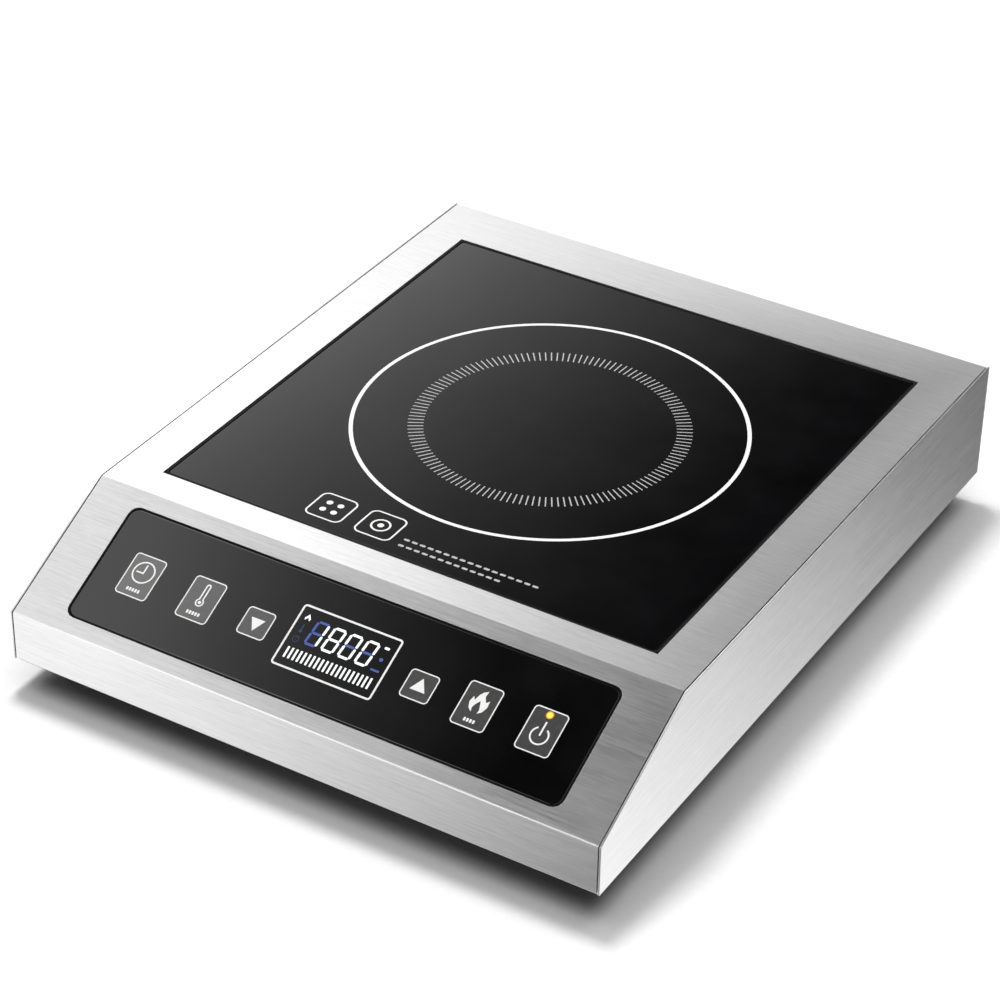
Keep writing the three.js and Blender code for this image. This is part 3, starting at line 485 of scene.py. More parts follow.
for number in (1, 2, 3):
    screw = f"rear_screw_{number}"
    screw_low, screw_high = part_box(screw)
    piece = bpy.data.objects.new(screw + "_finished", welded_copy(screw))
    piece.data.materials.append(finish_of(screw))
    scene.collection.objects.link(piece)
    middle = (screw_low + screw_high) / 2
    cutter = recess_cutter(middle.x, screw_high.y, middle.z)
    cut = piece.modifiers.new("cross recess", "BOOLEAN")
    cut.operation = "DIFFERENCE"
    cut.solver = "EXACT"
    cut.object = cutter
    shaped = piece.evaluated_get(bpy.context.evaluated_depsgraph_get())
    piece.data = bpy.data.meshes.new_from_object(shaped)
    piece.modifiers.remove(cut)
    bpy.data.objects.remove(cutter)
    piece.data.shade_smooth()
    piece.data.set_sharp_from_angle(angle=math.radians(32))
    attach(piece, "housing")
    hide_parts(screw)
    print(screw, "faces", len(piece.data.polygons))

# %% [markdown]
# ## Print drawn as thin solids
# Each mark is drawn flat in millimetres from an outline, then given the thickness of fired
# enamel. Two small builders are enough: a filled shape, and a band between two outlines.
# Marks of one finish go into one mesh, which keeps the list of pieces short.


# %% Drawing helpers
class Print:
    """Marks of one finish on one surface, drawn in millimetres."""

    def __init__(self, thickness=0.05):
        self.shape = bmesh.new()
        self.thickness = thickness

    def layers(self, outline, lift=0.0):
        rings = []
        for height in (lift, lift + self.thickness):
            rings.append([self.shape.verts.new((x, y, height)) for x, y in outline])
        return rings

    def walls(self, low, high):
        count = len(low)
        for i in range(count):
            after = (i + 1) % count
            self.shape.faces.new((low[i], low[after], high[after], high[i]))

    def filled(self, outline, lift=0.0):
        low, high = self.layers(outline, lift)
        self.shape.faces.new(low[::-1])
        self.shape.faces.new(high)
        self.walls(low, high)

    def band(self, outer, inner, lift=0.0):
        outer_low, outer_high = self.layers(outer, lift)
        inner_low, inner_high = self.layers(inner, lift)
        self.walls(outer_low, outer_high)
        self.walls(inner_low[::-1], inner_high[::-1])
        count = len(outer)
        for i in range(count):
            after = (i + 1) % count
            self.shape.faces.new((outer_high[i], outer_high[after], inner_high[after], inner_high[i]))
            self.shape.faces.new((inner_low[i], inner_low[after], outer_low[after], outer_low[i]))

    def fire(self, name, place, material):
        """Lays the print on its surface, as a piece of the housing."""
        bmesh.ops.recalc_face_normals(self.shape, faces=self.shape.faces)
        mesh = bpy.data.meshes.new(name)
        self.shape.to_mesh(mesh)
        self.shape.free()
        mesh.transform(place @ Matrix.Scale(MM, 4))
        mesh.materials.append(material)
        piece = bpy.data.objects.new(name, mesh)
        scene.collection.objects.link(piece)
        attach(piece, "housing")
        print(name, "faces", len(mesh.polygons))


def circle(radius, x=0.0, y=0.0, count=32):
    turns = [2 * math.pi * i / count for i in range(count)]
    return [(x + radius * math.cos(a), y + radius * math.sin(a)) for a in turns]


def rounded_box(width, height, corner, x=0.0, y=0.0, steps=5):
    """A rectangle with round corners, drawn anticlockwise."""
    points = []
    for quarter, (sx, sy) in enumerate([(1, 1), (-1, 1), (-1, -1), (1, -1)]):
        cx = x + sx * (width / 2 - corner)
        cy = y + sy * (height / 2 - corner)
        for step in range(steps + 1):
            angle = math.pi / 2 * (quarter + step / steps)
            points.append((cx + corner * math.cos(angle), cy + corner * math.sin(angle)))
    return points


def bar(x0, y0, x1, y1, width, steps=4):
    """A straight stroke with round ends."""
    heading = math.atan2(y1 - y0, x1 - x0)
    points = []
    for (x, y), start in (((x1, y1), heading - math.pi / 2), ((x0, y0), heading + math.pi / 2)):
        for step in range(steps + 1):
            angle = start + math.pi * step / steps
            points.append((x + width / 2 * math.cos(angle), y + width / 2 * math.sin(angle)))
    return points


def arc_band(radius, width, start, end, x, y, steps=40):
    """Outline of an open ring, from the start to the end angle in degrees."""
    angles = [math.radians(start + (end - start) * i / steps) for i in range(steps + 1)]
    far = [(x + (radius + width / 2) * math.cos(a), y + (radius + width / 2) * math.sin(a)) for a in angles]
    near = [(x + (radius - width / 2) * math.cos(a), y + (radius - width / 2) * math.sin(a)) for a in angles]
    return far, near


print("drawing helpers ready")

# %% [markdown]
# ## Repeated marks by Geometry Nodes
# The hob's inner ring is over a hundred short radial dashes, the display has a row of level
# bars, and small rows of dashes stand where the maker would print a caption. All are one
# rounded dash, repeated on a circle or along a line, which is what instancing is for.
# The tree makes the dash from its sizes, places it, then turns the instances into real faces.


# %% The dash trees
def start_tree(name, sockets):
    tree = bpy.data.node_groups.new(name, "GeometryNodeTree")
    tree.is_modifier = True
    for label, kind in sockets:
        tree.interface.new_socket(label, in_out="INPUT", socket_type=kind)
    tree.interface.new_socket("Geometry", in_out="OUTPUT", socket_type="NodeSocketGeometry")
    return tree, node_of(tree, "NodeGroupInput"), node_of(tree, "NodeGroupOutput")


def rounded_dash(tree, entry):
    """A closed rounded dash, lying along X, from the tree's Length, Width, Corner and Thickness."""
    links = tree.links
    outline = node_of(tree, "GeometryNodeCurvePrimitiveQuadrilateral")
    links.new(entry.outputs["Length"], outline.inputs["Width"])
    links.new(entry.outputs["Width"], outline.inputs["Height"])
    fillet = node_of(tree, "GeometryNodeFilletCurve", mode="POLY")
    fillet.inputs["Count"].default_value = 2
    fillet.inputs["Limit Radius"].default_value = True
    links.new(outline.outputs["Curve"], fillet.inputs["Curve"])
    links.new(entry.outputs["Corner"], fillet.inputs["Radius"])
    fill = node_of(tree, "GeometryNodeFillCurve", mode="NGONS")
    links.new(fillet.outputs["Curve"], fill.inputs["Curve"])
    raised = node_of(tree, "GeometryNodeExtrudeMesh")
    raised.inputs["Individual"].default_value = False
    links.new(fill.outputs["Mesh"], raised.inputs["Mesh"])
    links.new(entry.outputs["Thickness"], raised.inputs["Offset Scale"])
    underside = node_of(tree, "GeometryNodeFlipFaces")
    links.new(fill.outputs["Mesh"], underside.inputs["Mesh"])
    joined = node_of(tree, "GeometryNodeJoinGeometry")
    links.new(raised.outputs["Mesh"], joined.inputs["Geometry"])
    links.new(underside.outputs["Mesh"], joined.inputs["Geometry"])
    merged = node_of(tree, "GeometryNodeMergeByDistance")
    merged.inputs["Distance"].default_value = 0.001
    links.new(joined.outputs["Geometry"], merged.inputs["Geometry"])
    return merged.outputs["Geometry"]


def end_tree(tree, entry, result, points, dash, rotation=None):
    links = tree.links
    placed = node_of(tree, "GeometryNodeInstanceOnPoints")
    links.new(points, placed.inputs["Points"])
    links.new(dash, placed.inputs["Instance"])
    if rotation is not None:
        links.new(rotation, placed.inputs["Rotation"])
    real = node_of(tree, "GeometryNodeRealizeInstances")
    painted = node_of(tree, "GeometryNodeSetMaterial")
    links.new(placed.outputs["Instances"], real.inputs["Geometry"])
    links.new(real.outputs["Geometry"], painted.inputs["Geometry"])
    links.new(entry.outputs["Finish"], painted.inputs["Material"])
    links.new(painted.outputs["Geometry"], result.inputs["Geometry"])


DASH_SOCKETS = [
    ("Count", "NodeSocketInt"),
    ("Length", "NodeSocketFloat"),
    ("Width", "NodeSocketFloat"),
    ("Corner", "NodeSocketFloat"),
    ("Thickness", "NodeSocketFloat"),
    ("Finish", "NodeSocketMaterial"),
]


def ring_tree():
    sockets = [("Ring Radius", "NodeSocketFloat"), *DASH_SOCKETS]
    tree, entry, result = start_tree("dashes on a ring", sockets)
    ring = node_of(tree, "GeometryNodeMeshCircle")
    tree.links.new(entry.outputs["Count"], ring.inputs["Vertices"])
    tree.links.new(entry.outputs["Ring Radius"], ring.inputs["Radius"])
    where = node_of(tree, "GeometryNodeInputPosition")
    outwards = node_of(tree, "FunctionNodeAlignRotationToVector", axis="X")
    tree.links.new(where.outputs["Position"], outwards.inputs["Vector"])
    dash = rounded_dash(tree, entry)
    end_tree(tree, entry, result, ring.outputs["Mesh"], dash, outwards.outputs["Rotation"])
    return tree


def row_tree():
    sockets = [("Start", "NodeSocketVector"), ("Step", "NodeSocketVector"), *DASH_SOCKETS]
    tree, entry, result = start_tree("dashes in a row", sockets)
    row = node_of(tree, "GeometryNodeMeshLine", mode="OFFSET", count_mode="TOTAL")
    tree.links.new(entry.outputs["Count"], row.inputs["Count"])
    tree.links.new(entry.outputs["Start"], row.inputs["Start Location"])
    tree.links.new(entry.outputs["Step"], row.inputs["Offset"])
    dash = rounded_dash(tree, entry)
    end_tree(tree, entry, result, row.outputs["Mesh"], dash)
    return tree


dashes_on_ring = ring_tree()
dashes_in_row = row_tree()


def grow(name, tree, place, slot, **values):
    """Runs a tree on its own, and lays its result on a surface as a plain mesh."""
    holder = bpy.data.objects.new(name, bpy.data.meshes.new(name))
    scene.collection.objects.link(holder)
    modifier = holder.modifiers.new("grow", "NODES")
    modifier.node_group = tree
    for item in tree.interface.items_tree:
        if item.item_type == "SOCKET" and item.in_out == "INPUT":
            modifier[item.identifier] = values[item.name.replace(" ", "_")]
    grown = bpy.data.meshes.new_from_object(holder.evaluated_get(bpy.context.evaluated_depsgraph_get()))
    holder.modifiers.remove(modifier)
    grown.transform(place @ Matrix.Scale(MM, 4))
    grown.name = name
    holder.data = grown
    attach(holder, "housing")
    print(name, "faces", len(grown.polygons))


# %% [markdown]
# ## The hob's markings
# A bold white ring shows the largest pan, and a finer ring of dashes the smallest. Two small
# framed marks and two caption rows lie in front of the ring.

# %% Hob print
RING_RADIUS = 101.2
RING_WIDTH = 2.1
hob_ring = Print()
ring_outer = circle(RING_RADIUS + RING_WIDTH / 2, count=160)
ring_inner = circle(RING_RADIUS - RING_WIDTH / 2, count=160)
hob_ring.band(ring_outer, ring_inner)
hob_ring.fire("hob_ring", hob_place, white_enamel)

grow(
    "hob_dash_ring",
    dashes_on_ring,
    hob_place,
    "white_plastic",
    Ring_Radius=68.4,
    Count=141,
    Length=8.2,
    Width=0.62,
    Corner=0.25,
    Thickness=0.05,
    Finish=grey_enamel,
)

MARK_SIZE = 21.0
MARK_LINE = 0.9
MARK_Y = -120.5
MARK_CORNER = 4
mark_opening = MARK_SIZE - 2 * MARK_LINE
hob_marks = Print()
for mark_x in (-52.5, -24.0):
    frame_outer = rounded_box(MARK_SIZE, MARK_SIZE, MARK_CORNER, mark_x, MARK_Y)
    frame_inner = rounded_box(mark_opening, mark_opening, MARK_CORNER - MARK_LINE, mark_x, MARK_Y)
    hob_marks.band(frame_outer, frame_inner)
for shift_x in (-3.2, 3.2):
    for shift_y in (-3.2, 3.2):
        hob_marks.filled(circle(1.7, -52.5 + shift_x, MARK_Y + shift_y, 20))
hob_marks.band(circle(5.2, -24.0, MARK_Y), circle(4.2, -24.0, MARK_Y))
hob_marks.filled(circle(1.7, -24.0, MARK_Y, 20))
hob_marks.fire("hob_marks", hob_place, white_enamel)

for row, (row_y, row_count) in enumerate([(-124.3, 17), (-129.6, 13)]):
    grow(
        f"hob_caption_{row + 1}",
        dashes_in_row,
        hob_place,
        "white_plastic",
        Start=(-6.5, row_y, 0),
        Step=(4.5, 0, 0),
        Count=row_count,
        Length=3.2,
        Width=1.5,
        Corner=0.6,
        Thickness=0.05,
        Finish=grey_enamel,
    )

# %% [markdown]
# ## The touch keys
# Six keys are printed on the control glass: a film of grey that the finger finds by eye, a thin
# white outline, and a pictogram. There is no travel: each spring behind the glass senses the
# finger. The captions are rows of dashes, because real ones would be words.

# %% Key print
KEY_LINE = 0.6
KEY_CORNER = 2.1
TALL_KEY = (18.1, 23.5)
SMALL_KEY = (15.6, 15.3)
TALL_KEY_Y = -0.8
SMALL_KEY_Y = -1.8
keys = {
    "timer": (-112.7, TALL_KEY_Y, TALL_KEY),
    "temperature": (-77.2, TALL_KEY_Y, TALL_KEY),
    "down": (-44.5, SMALL_KEY_Y, SMALL_KEY),
    "up": (47.1, SMALL_KEY_Y, SMALL_KEY),
    "heat_level": (77.7, TALL_KEY_Y, TALL_KEY),
    "on_off": (112.1, TALL_KEY_Y, TALL_KEY),
}
key_fills = Print(0.03)
key_legend = Print(0.05)
for key_x, key_y, (key_width, key_height) in keys.values():
    key_fills.filled(rounded_box(key_width - 0.4, key_height - 0.4, KEY_CORNER - 0.2, key_x, key_y))
    outer = rounded_box(key_width, key_height, KEY_CORNER, key_x, key_y)
    inner = rounded_box(
        key_width - 2 * KEY_LINE, key_height - 2 * KEY_LINE, KEY_CORNER - KEY_LINE, key_x, key_y
    )
    key_legend.band(outer, inner, 0.02)
key_fills.fire("key_fills", panel_place, key_film)

# %% [markdown]
# ## Pictograms
# A clock face, a thermometer, two arrows, a flame and the usual power sign are all generic
# signs, drawn from circles, strokes and a few points.

# %% Draw the pictograms
ICON_LIFT = 0.03
clock_x, clock_y = keys["timer"][0], 1.6
key_legend.band(circle(6.1, clock_x, clock_y, 48), circle(5.3, clock_x, clock_y, 48), ICON_LIFT)
key_legend.filled(
    [
        (clock_x - 0.4, clock_y + 4.4),
        (clock_x - 0.4, clock_y),
        (clock_x - 4.0, clock_y),
        (clock_x - 4.0, clock_y - 0.8),
        (clock_x + 0.4, clock_y - 0.8),
        (clock_x + 0.4, clock_y + 4.4),
    ],
    ICON_LIFT,
)

bulb_x, bulb_y = keys["temperature"][0], -2.3
tube_top = 8.2


def thermometer_outline(bulb, tube, top):
    """A round bulb that runs into a tube with a round top."""
    neck = math.asin(tube / bulb)
    sweep = [math.pi / 2 + neck + (2 * math.pi - 2 * neck) * i / 28 for i in range(29)]
    points = [(bulb_x + bulb * math.cos(a), bulb_y + bulb * math.sin(a)) for a in sweep]
    cap = [math.pi * i / 8 for i in range(9)]
    return points + [(bulb_x + tube * math.cos(a), top + tube * math.sin(a)) for a in cap]


key_legend.band(
    thermometer_outline(2.3, 1.35, tube_top - 1.35), thermometer_outline(1.6, 0.6, tube_top - 1.35), ICON_LIFT
)
key_legend.filled(circle(0.9, bulb_x, bulb_y, 16), ICON_LIFT)

down_x, up_x = keys["down"][0], keys["up"][0]
key_legend.filled([(down_x - 3.9, 0.7), (down_x, -6.1), (down_x + 3.9, 0.7)], ICON_LIFT)
key_legend.filled([(up_x - 4.1, -4.4), (up_x + 4.1, -4.4), (up_x, 2.5)], ICON_LIFT)

flame_x, flame_y = keys["heat_level"][0], 1.4
flame_outer = [(1.8, 6.6), (1.5, 3.6), (3.2, 0.8), (4.6, 2.4), (4.9, -1.2), (3.6, -4.2), (1.6, -5.6)]
flame_inner = [(1.9, -3.6), (1.2, -1.6), (0.3, 0.9), (-1.3, -1.4), (-2.1, -3.4), (-1.6, -5.6)]
flame_left = [(-3.6, -4.0), (-4.7, -1.0), (-3.8, 2.2), (-2.7, 0.4), (-1.6, 3.6), (-0.2, 5.4)]
flame = [(flame_x + x, flame_y + y) for x, y in flame_outer + flame_inner + flame_left]
key_legend.filled(flame, ICON_LIFT)

power_x, power_y = keys["on_off"][0], -3.2
far, near = arc_band(4.4, 0.85, 122, 418, power_x, power_y)
key_legend.filled(far + near[::-1], ICON_LIFT)
key_legend.filled(bar(power_x, power_y + 0.4, power_x, power_y + 7.2, 0.9), ICON_LIFT)
key_legend.fire("key_legend", panel_place, white_enamel)

lamp_ring = Print(0.03)
lamp_x, lamp_y = power_x - 0.3, 8.0
lamp = Print(0.06)
lamp.filled(circle(1.35, lamp_x, lamp_y, 24), 0.03)
lamp.fire("power_lamp_window", panel_place, amber_glow)
lamp_ring.band(circle(2.0, lamp_x, lamp_y), circle(1.4, lamp_x, lamp_y), 0.03)
lamp_ring.fire("power_lamp_surround", panel_place, amber_lens)

for caption_key, caption_length in (("timer", 5), ("temperature", 5), ("heat_level", 4)):
    caption_x = keys[caption_key][0]
    grow(
        f"key_caption_{caption_key}",
        dashes_in_row,
        panel_place,
        "white_plastic",
        Start=(caption_x - 0.8 * (caption_length - 1), -8.6, 0.03),
        Step=(1.6, 0, 0),
        Count=caption_length,
        Length=1.15,
        Width=1.9,
        Corner=0.35,
        Thickness=0.05,
        Finish=white_enamel,
    )

# %% [markdown]
# ## The display
# On a real cooker a display shines through the glass. Here what it shows is thin solids on the
# glass: seven-segment digits, lit segments white and idle ones blue, over a row of twenty level
# bars. Each digit is drawn from seven six-sided segments that lean a little.

# %% Draw the digits
DISPLAY_WIDTH = 55.8
DISPLAY_HEIGHT = 34.2
DISPLAY_LINE = 1.0
DISPLAY_X = 0.6
DISPLAY_Y = -0.4
outline = Print()
DISPLAY_CORNER = 1.9
window_width = DISPLAY_WIDTH - 2 * DISPLAY_LINE
window_height = DISPLAY_HEIGHT - 2 * DISPLAY_LINE
outline.band(
    rounded_box(DISPLAY_WIDTH, DISPLAY_HEIGHT, DISPLAY_CORNER, DISPLAY_X, DISPLAY_Y),
    rounded_box(window_width, window_height, DISPLAY_CORNER - DISPLAY_LINE, DISPLAY_X, DISPLAY_Y),
)
outline.fire("display_outline", panel_place, white_enamel)

DIGIT_WIDTH = 6.6
DIGIT_HEIGHT = 13.8
DIGIT_LEAN = 0.09
SEGMENT = 1.3
DIGIT_MIDDLE_Y = 4.1
digit_xs = [-13.3, -3.9, 5.4, 14.8]
half_w = DIGIT_WIDTH / 2 - SEGMENT / 2 + 0.35
half_h = DIGIT_HEIGHT / 2 - SEGMENT / 2
segment_ends = {
    "top": (-half_w, half_h, half_w, half_h),
    "upper_right": (half_w, half_h, half_w, 0),
    "lower_right": (half_w, 0, half_w, -half_h),
    "bottom": (-half_w, -half_h, half_w, -half_h),
    "lower_left": (-half_w, 0, -half_w, -half_h),
    "upper_left": (-half_w, half_h, -half_w, 0),
    "middle": (-half_w, 0, half_w, 0),
}
idle_segments = [
    {"top", "bottom", "lower_left", "upper_left", "middle"},
    set(),
    {"middle"},
    {"middle"},
]


def segment_outline(digit_x, ends):
    """A six-sided segment with pointed ends, sheared by the digit's lean."""
    x0, y0, x1, y1 = ends
    length = math.hypot(x1 - x0, y1 - y0)
    along = ((x1 - x0) / length, (y1 - y0) / length)
    side = (-along[1], along[0])
    points = []
    near_tip, near_flank = 0.15, 0.75
    far_tip, far_flank = length - near_tip, length - near_flank
    upper_side = ((near_tip, 0), (near_flank, 1), (far_flank, 1))
    lower_side = ((far_tip, 0), (far_flank, -1), (near_flank, -1))
    for distance, offset in upper_side + lower_side:
        x = x0 + along[0] * distance + side[0] * offset * SEGMENT / 2
        y = y0 + along[1] * distance + side[1] * offset * SEGMENT / 2
        points.append((digit_x + x + DIGIT_LEAN * y, DIGIT_MIDDLE_Y + y))
    return points


lit = Print()
idle = Print()
for digit_x, resting in zip(digit_xs, idle_segments):
    for segment_name, ends in segment_ends.items():
        target = idle if segment_name in resting else lit
        target.filled(segment_outline(digit_x, ends))

# %% [markdown]
# Small signs stand beside the digits: an arrowhead, a thermometer and a clock on the left, and a
# bar, a dot and a longer bar on the right in place of unit letters. Only the arrowhead and the
# first bar are lit.

# %% Draw the small signs
SIGN_X = -21.9
chevron = [(0, 2.0), (1.6, -0.4), (1.2, -1.6), (0, 0.2), (-1.2, -1.6), (-1.6, -0.4)]
lit.filled([(SIGN_X + x, 10.3 + y) for x, y in chevron])
dim = Print()
dim.filled(bar(SIGN_X, 3.2, SIGN_X, 6.2, 0.7))
dim.filled(circle(0.9, SIGN_X, 2.7, 16))
dim.band(circle(1.8, SIGN_X, -1.9, 24), circle(1.4, SIGN_X, -1.9, 24))
dim.filled(bar(SIGN_X, -1.9, SIGN_X, -0.9, 0.4))
for colon_y in (DIGIT_MIDDLE_Y + 2.6, DIGIT_MIDDLE_Y - 2.4):
    dim.filled(circle(0.5, 1.1 + DIGIT_LEAN * (colon_y - DIGIT_MIDDLE_Y), colon_y, 12))
UNIT_X = 22.7
lit.filled(rounded_box(2.6, 1.3, 0.4, UNIT_X, 9.9))
idle.filled(circle(1.0, UNIT_X + 0.2, 3.6, 16))
idle.filled(rounded_box(4.8, 1.1, 0.4, UNIT_X, -2.5))
lit.fire("display_segments_lit", panel_place, lit_segment)
idle.fire("display_segments_idle", panel_place, idle_segment)
dim.fire("display_signs_dim", panel_place, dim_segment)

grow(
    "display_level_bars",
    dashes_in_row,
    panel_place,
    "display_plastic",
    Start=(-22.6, -9.5, 0),
    Step=(2.44, 0, 0),
    Count=20,
    Length=1.05,
    Width=6.0,
    Corner=0.15,
    Thickness=0.05,
    Finish=lit_segment,
)

# %% [markdown]
# ## Studio
# The object stands on a plain pale floor in soft light. Polished and brushed surfaces show
# whatever stands around them, so the world acts as a light tent: light from overhead for matt
# surfaces, and for reflections a few large cards whose brightness falls off gently. Because
# the cards belong to directions, not to the camera, they stay put when the view turns.


# %% World of soft cards
class Sum:
    """Small arithmetic on world directions."""

    def __init__(self, tree):
        self.tree = tree

    def math(self, operation, *values):
        node = node_of(self.tree, "ShaderNodeMath", operation=operation)
        for socket, value in zip(node.inputs, values):
            if isinstance(value, (int, float)):
                socket.default_value = value
            else:
                self.tree.links.new(value, socket)
        return node.outputs["Value"]

    def ramp(self, value, start, end, low, high, smooth=True):
        node = node_of(self.tree, "ShaderNodeMapRange")
        node.interpolation_type = "SMOOTHSTEP" if smooth else "LINEAR"
        for label, number in zip(("From Min", "From Max", "To Min", "To Max"), (start, end, low, high)):
            node.inputs[label].default_value = number
        self.tree.links.new(value, node.inputs["Value"])
        return node.outputs["Result"]

    def between(self, share, a, b):
        """a where share is 0, b where it is 1."""
        rest = self.math("SUBTRACT", 1.0, share)
        return self.math("ADD", self.math("MULTIPLY", a, rest), self.math("MULTIPLY", b, share))


world = bpy.data.worlds.new("soft_studio")
scene.world = world
world.use_nodes = True
world_tree = world.node_tree
calc = Sum(world_tree)
direction = node_of(world_tree, "ShaderNodeSeparateXYZ")
sky = node_of(world_tree, "ShaderNodeTexCoord")
world_tree.links.new(sky.outputs["Generated"], direction.inputs["Vector"])
dir_x, dir_y, dir_z = (direction.outputs[axis] for axis in "XYZ")
height = calc.math("MAXIMUM", calc.math("ABSOLUTE", dir_z), 0.02)
across = calc.math("DIVIDE", dir_x, height)
away = calc.math("DIVIDE", dir_y, height)


def falling_card(value, start, end, brightness):
    """Brightest at start, and falls to nothing at end with a soft tail."""
    rest = calc.math("SUBTRACT", 1.0, calc.ramp(value, start, end, 0, 1, smooth=False))
    return calc.math("MULTIPLY", calc.math("MULTIPLY", rest, rest), brightness)


# A falling card: where it is brightest, where it ends, and how bright it is.
REAR_CARD = (-1.0, -0.61, 2.35)
OVERHEAD_CARD = (-0.68, -0.42, 2.5)
# A ramp: from where, to where, and the values at both ends.
OVERHEAD_LEFT_END = (-0.56, -0.5, 0.45, 1.0)
OVERHEAD_TO_REAR = (0.5, 1.1, 0, 1)
STRIP_RISE = (0.25, 0.4, 0, 1)
STRIP_FALL = (0.75, 0.95, 1, 0)
STRIP_ALONG = (-0.46, -0.33, 2.0, 0.15)
RIGHT_SIDE = (-0.2, 0.15, 0.0, 0.45)

# The deck sees the rear card, the slope sees the overhead one, and a strip joins the two.
rear_card = falling_card(across, *REAR_CARD)
overhead_card = falling_card(across, *OVERHEAD_CARD)
overhead_card = calc.math("MULTIPLY", overhead_card, calc.ramp(dir_x, *OVERHEAD_LEFT_END))
right_side = calc.ramp(dir_x, *RIGHT_SIDE)
upper = calc.between(calc.ramp(away, *OVERHEAD_TO_REAR), overhead_card, rear_card)
strip_shape = calc.math("MULTIPLY", calc.ramp(away, *STRIP_RISE), calc.ramp(away, *STRIP_FALL))
strip_light = calc.math("MULTIPLY", strip_shape, calc.ramp(dir_x, *STRIP_ALONG))
upper = calc.math("ADD", calc.math("ADD", upper, strip_light), right_side)

# The upright sheets see the low walls: the lip sees the front one, the side panels the other.
FRONT_WALL = (-0.56, -0.28, 1.75, 0.0)
FRONT_WALL_LEFT_END = (-0.8, -0.6, 0.5, 1.0)
SIDE_WALL = (0.665, 0.79, 1.75, 0.03)
SIDE_WALL_NEAR_END = (0.4, 0.62, 0.5, 1.0)
SIDE_WALL_LEFT_HALF = (-0.1, 0.2, 0.4, 1.0)
SIDE_WALL_FAR_GLOW = (0.85, 0.97, 0.0, 0.4)
SIDE_WALL_LEFT_GLOW = (-0.35, -0.15, 0.7, 0.0)
FRONT_TO_SIDE = (-0.1, 0.1, 0, 1)
front_wall = calc.math(
    "MULTIPLY", calc.ramp(dir_x, *FRONT_WALL), calc.ramp(dir_x, *FRONT_WALL_LEFT_END)
)
front_wall = calc.math("ADD", front_wall, right_side)
side_wall = calc.math(
    "MULTIPLY", calc.ramp(dir_y, *SIDE_WALL, smooth=False), calc.ramp(dir_y, *SIDE_WALL_NEAR_END)
)
side_wall = calc.math("MULTIPLY", side_wall, calc.ramp(dir_x, *SIDE_WALL_LEFT_HALF))
side_wall = calc.math("ADD", side_wall, calc.ramp(dir_y, *SIDE_WALL_FAR_GLOW))
side_wall = calc.math("ADD", side_wall, calc.ramp(dir_x, *SIDE_WALL_LEFT_GLOW))
lower = calc.between(calc.ramp(dir_y, *FRONT_TO_SIDE), front_wall, side_wall)
LOW_TO_HIGH = (0.18, 0.38, 0, 1)
cards = calc.between(calc.ramp(dir_z, *LOW_TO_HIGH), lower, upper)
print("world nodes", len(world_tree.nodes))

# %% [markdown]
# A light path node tells what kind of ray is asking. A camera ray sees a white backdrop, a
# diffuse ray a soft light from overhead, and a glossy ray the cards. Only a glossy ray that
# follows a bounce off something matt sees almost nothing, so that bright cards don't leak into
# the shadow under the body.

# %% Choose the light by the kind of ray
path = node_of(world_tree, "ShaderNodeLightPath")
BACKDROP = 1.0
OVERHEAD_LIGHT = (0.72, 0.95, 0.05, 2.2)
overhead_light = calc.ramp(dir_z, *OVERHEAD_LIGHT)
glossy = path.outputs["Is Glossy Ray"]
seen = path.outputs["Is Camera Ray"]
STRAY_LIGHT = 0.03
direct = calc.math("LESS_THAN", path.outputs["Diffuse Depth"], 0.5)
cards_seen = calc.between(direct, STRAY_LIGHT, cards)
brightness = calc.between(glossy, overhead_light, cards_seen)
brightness = calc.between(seen, brightness, BACKDROP)
background = world_tree.nodes["Background"]
background.inputs["Color"].default_value = (1, 1, 1, 1)
world_tree.links.new(brightness, background.inputs["Strength"])
scene.view_settings.view_transform = "Standard"

# %% [markdown]
# ## Floor and key light
# The floor is a wide sheet of matt white paper with a trace of tooth. One round lamp, almost
# overhead but a little to the left and behind, moves the shadow forward and to the right, and
# its size keeps the shadow's edge soft.

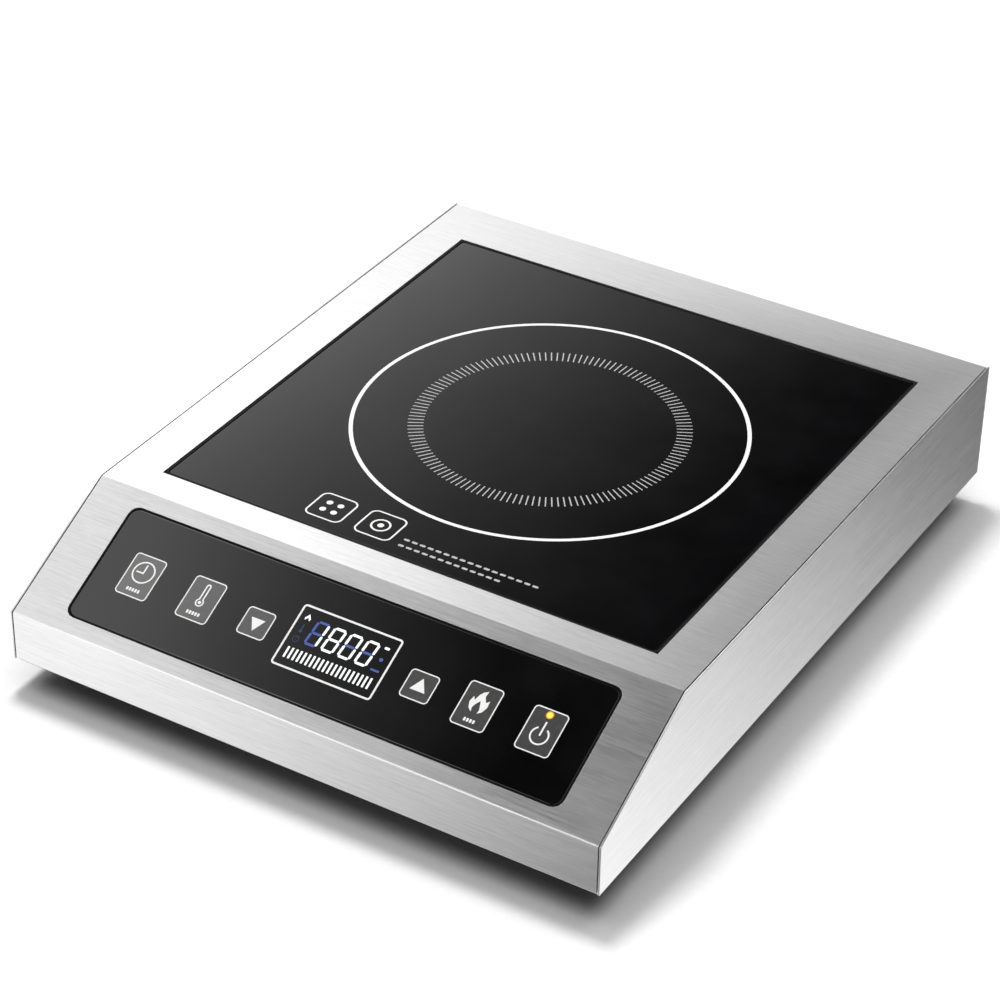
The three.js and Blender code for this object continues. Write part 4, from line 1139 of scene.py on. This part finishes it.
# %% Floor and lamp
FLOOR_REACH = 12.0
paper = finish("studio_paper", (0.9, 0.9, 0.9), (0.93, 0.93, 0.93), (0.85, 0.95), 300, bump=0.00001)
floor_mesh = bpy.data.meshes.new("studio_floor")
floor_corners = [(-1, -1), (1, -1), (1, 1), (-1, 1)]
floor_points = [(x * FLOOR_REACH, y * FLOOR_REACH, cad_low.z) for x, y in floor_corners]
floor_mesh.from_pydata(floor_points, [], [(0, 1, 2, 3)])
floor_mesh.materials.append(paper)
floor = bpy.data.objects.new("studio_floor", floor_mesh)
scene.collection.objects.link(floor)
floor.visible_glossy = False

key_data = bpy.data.lights.new("soft_key", "AREA")
key_data.shape = "DISK"
LAMP_WIDTH = 0.5
LAMP_POWER = 30
LAMP_OFFSET = Vector((-0.42, 0.3, 2.25))
key_data.size = LAMP_WIDTH
key_data.energy = LAMP_POWER
key = bpy.data.objects.new("soft_key", key_data)
scene.collection.objects.link(key)
key_target = (cad_low + cad_high) / 2
key.location = key_target + LAMP_OFFSET
key.rotation_euler = (key_target - key.location).to_track_quat("-Z", "Y").to_euler()
key.visible_glossy = False
print("floor and key light set")

# %% [markdown]
# ## Camera
# A long lens from the front right, a little over half way between level and overhead views,
# keeps the sides nearly parallel. The camera looks at a point near the middle of the deck.

# %% Camera
AZIMUTH = math.radians(30.79)
ELEVATION = math.radians(33.94)
DISTANCE = 1.5637
ROLL = math.radians(1.01)
deck_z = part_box("top_cover")[1].z
aim = Vector((0.0135, -0.0476, deck_z))
back = Vector(
    (
        math.sin(AZIMUTH) * math.cos(ELEVATION),
        -math.cos(AZIMUTH) * math.cos(ELEVATION),
        math.sin(ELEVATION),
    )
)
level_right = Vector((0, 0, 1)).cross(back).normalized()
level_up = back.cross(level_right)
camera_right = level_right * math.cos(ROLL) + level_up * math.sin(ROLL)
camera_up = back.cross(camera_right)
camera_data = bpy.data.cameras.new("studio_camera")
camera_data.lens = 114.88
camera_data.sensor_width = 36
camera = bpy.data.objects.new("studio_camera", camera_data)
scene.collection.objects.link(camera)
turn = Matrix((camera_right, camera_up, back)).transposed().to_4x4()
turn.translation = aim + back * DISTANCE
camera.matrix_world = turn
scene.camera = camera
print("camera at", [round(c, 4) for c in camera.matrix_world.translation])
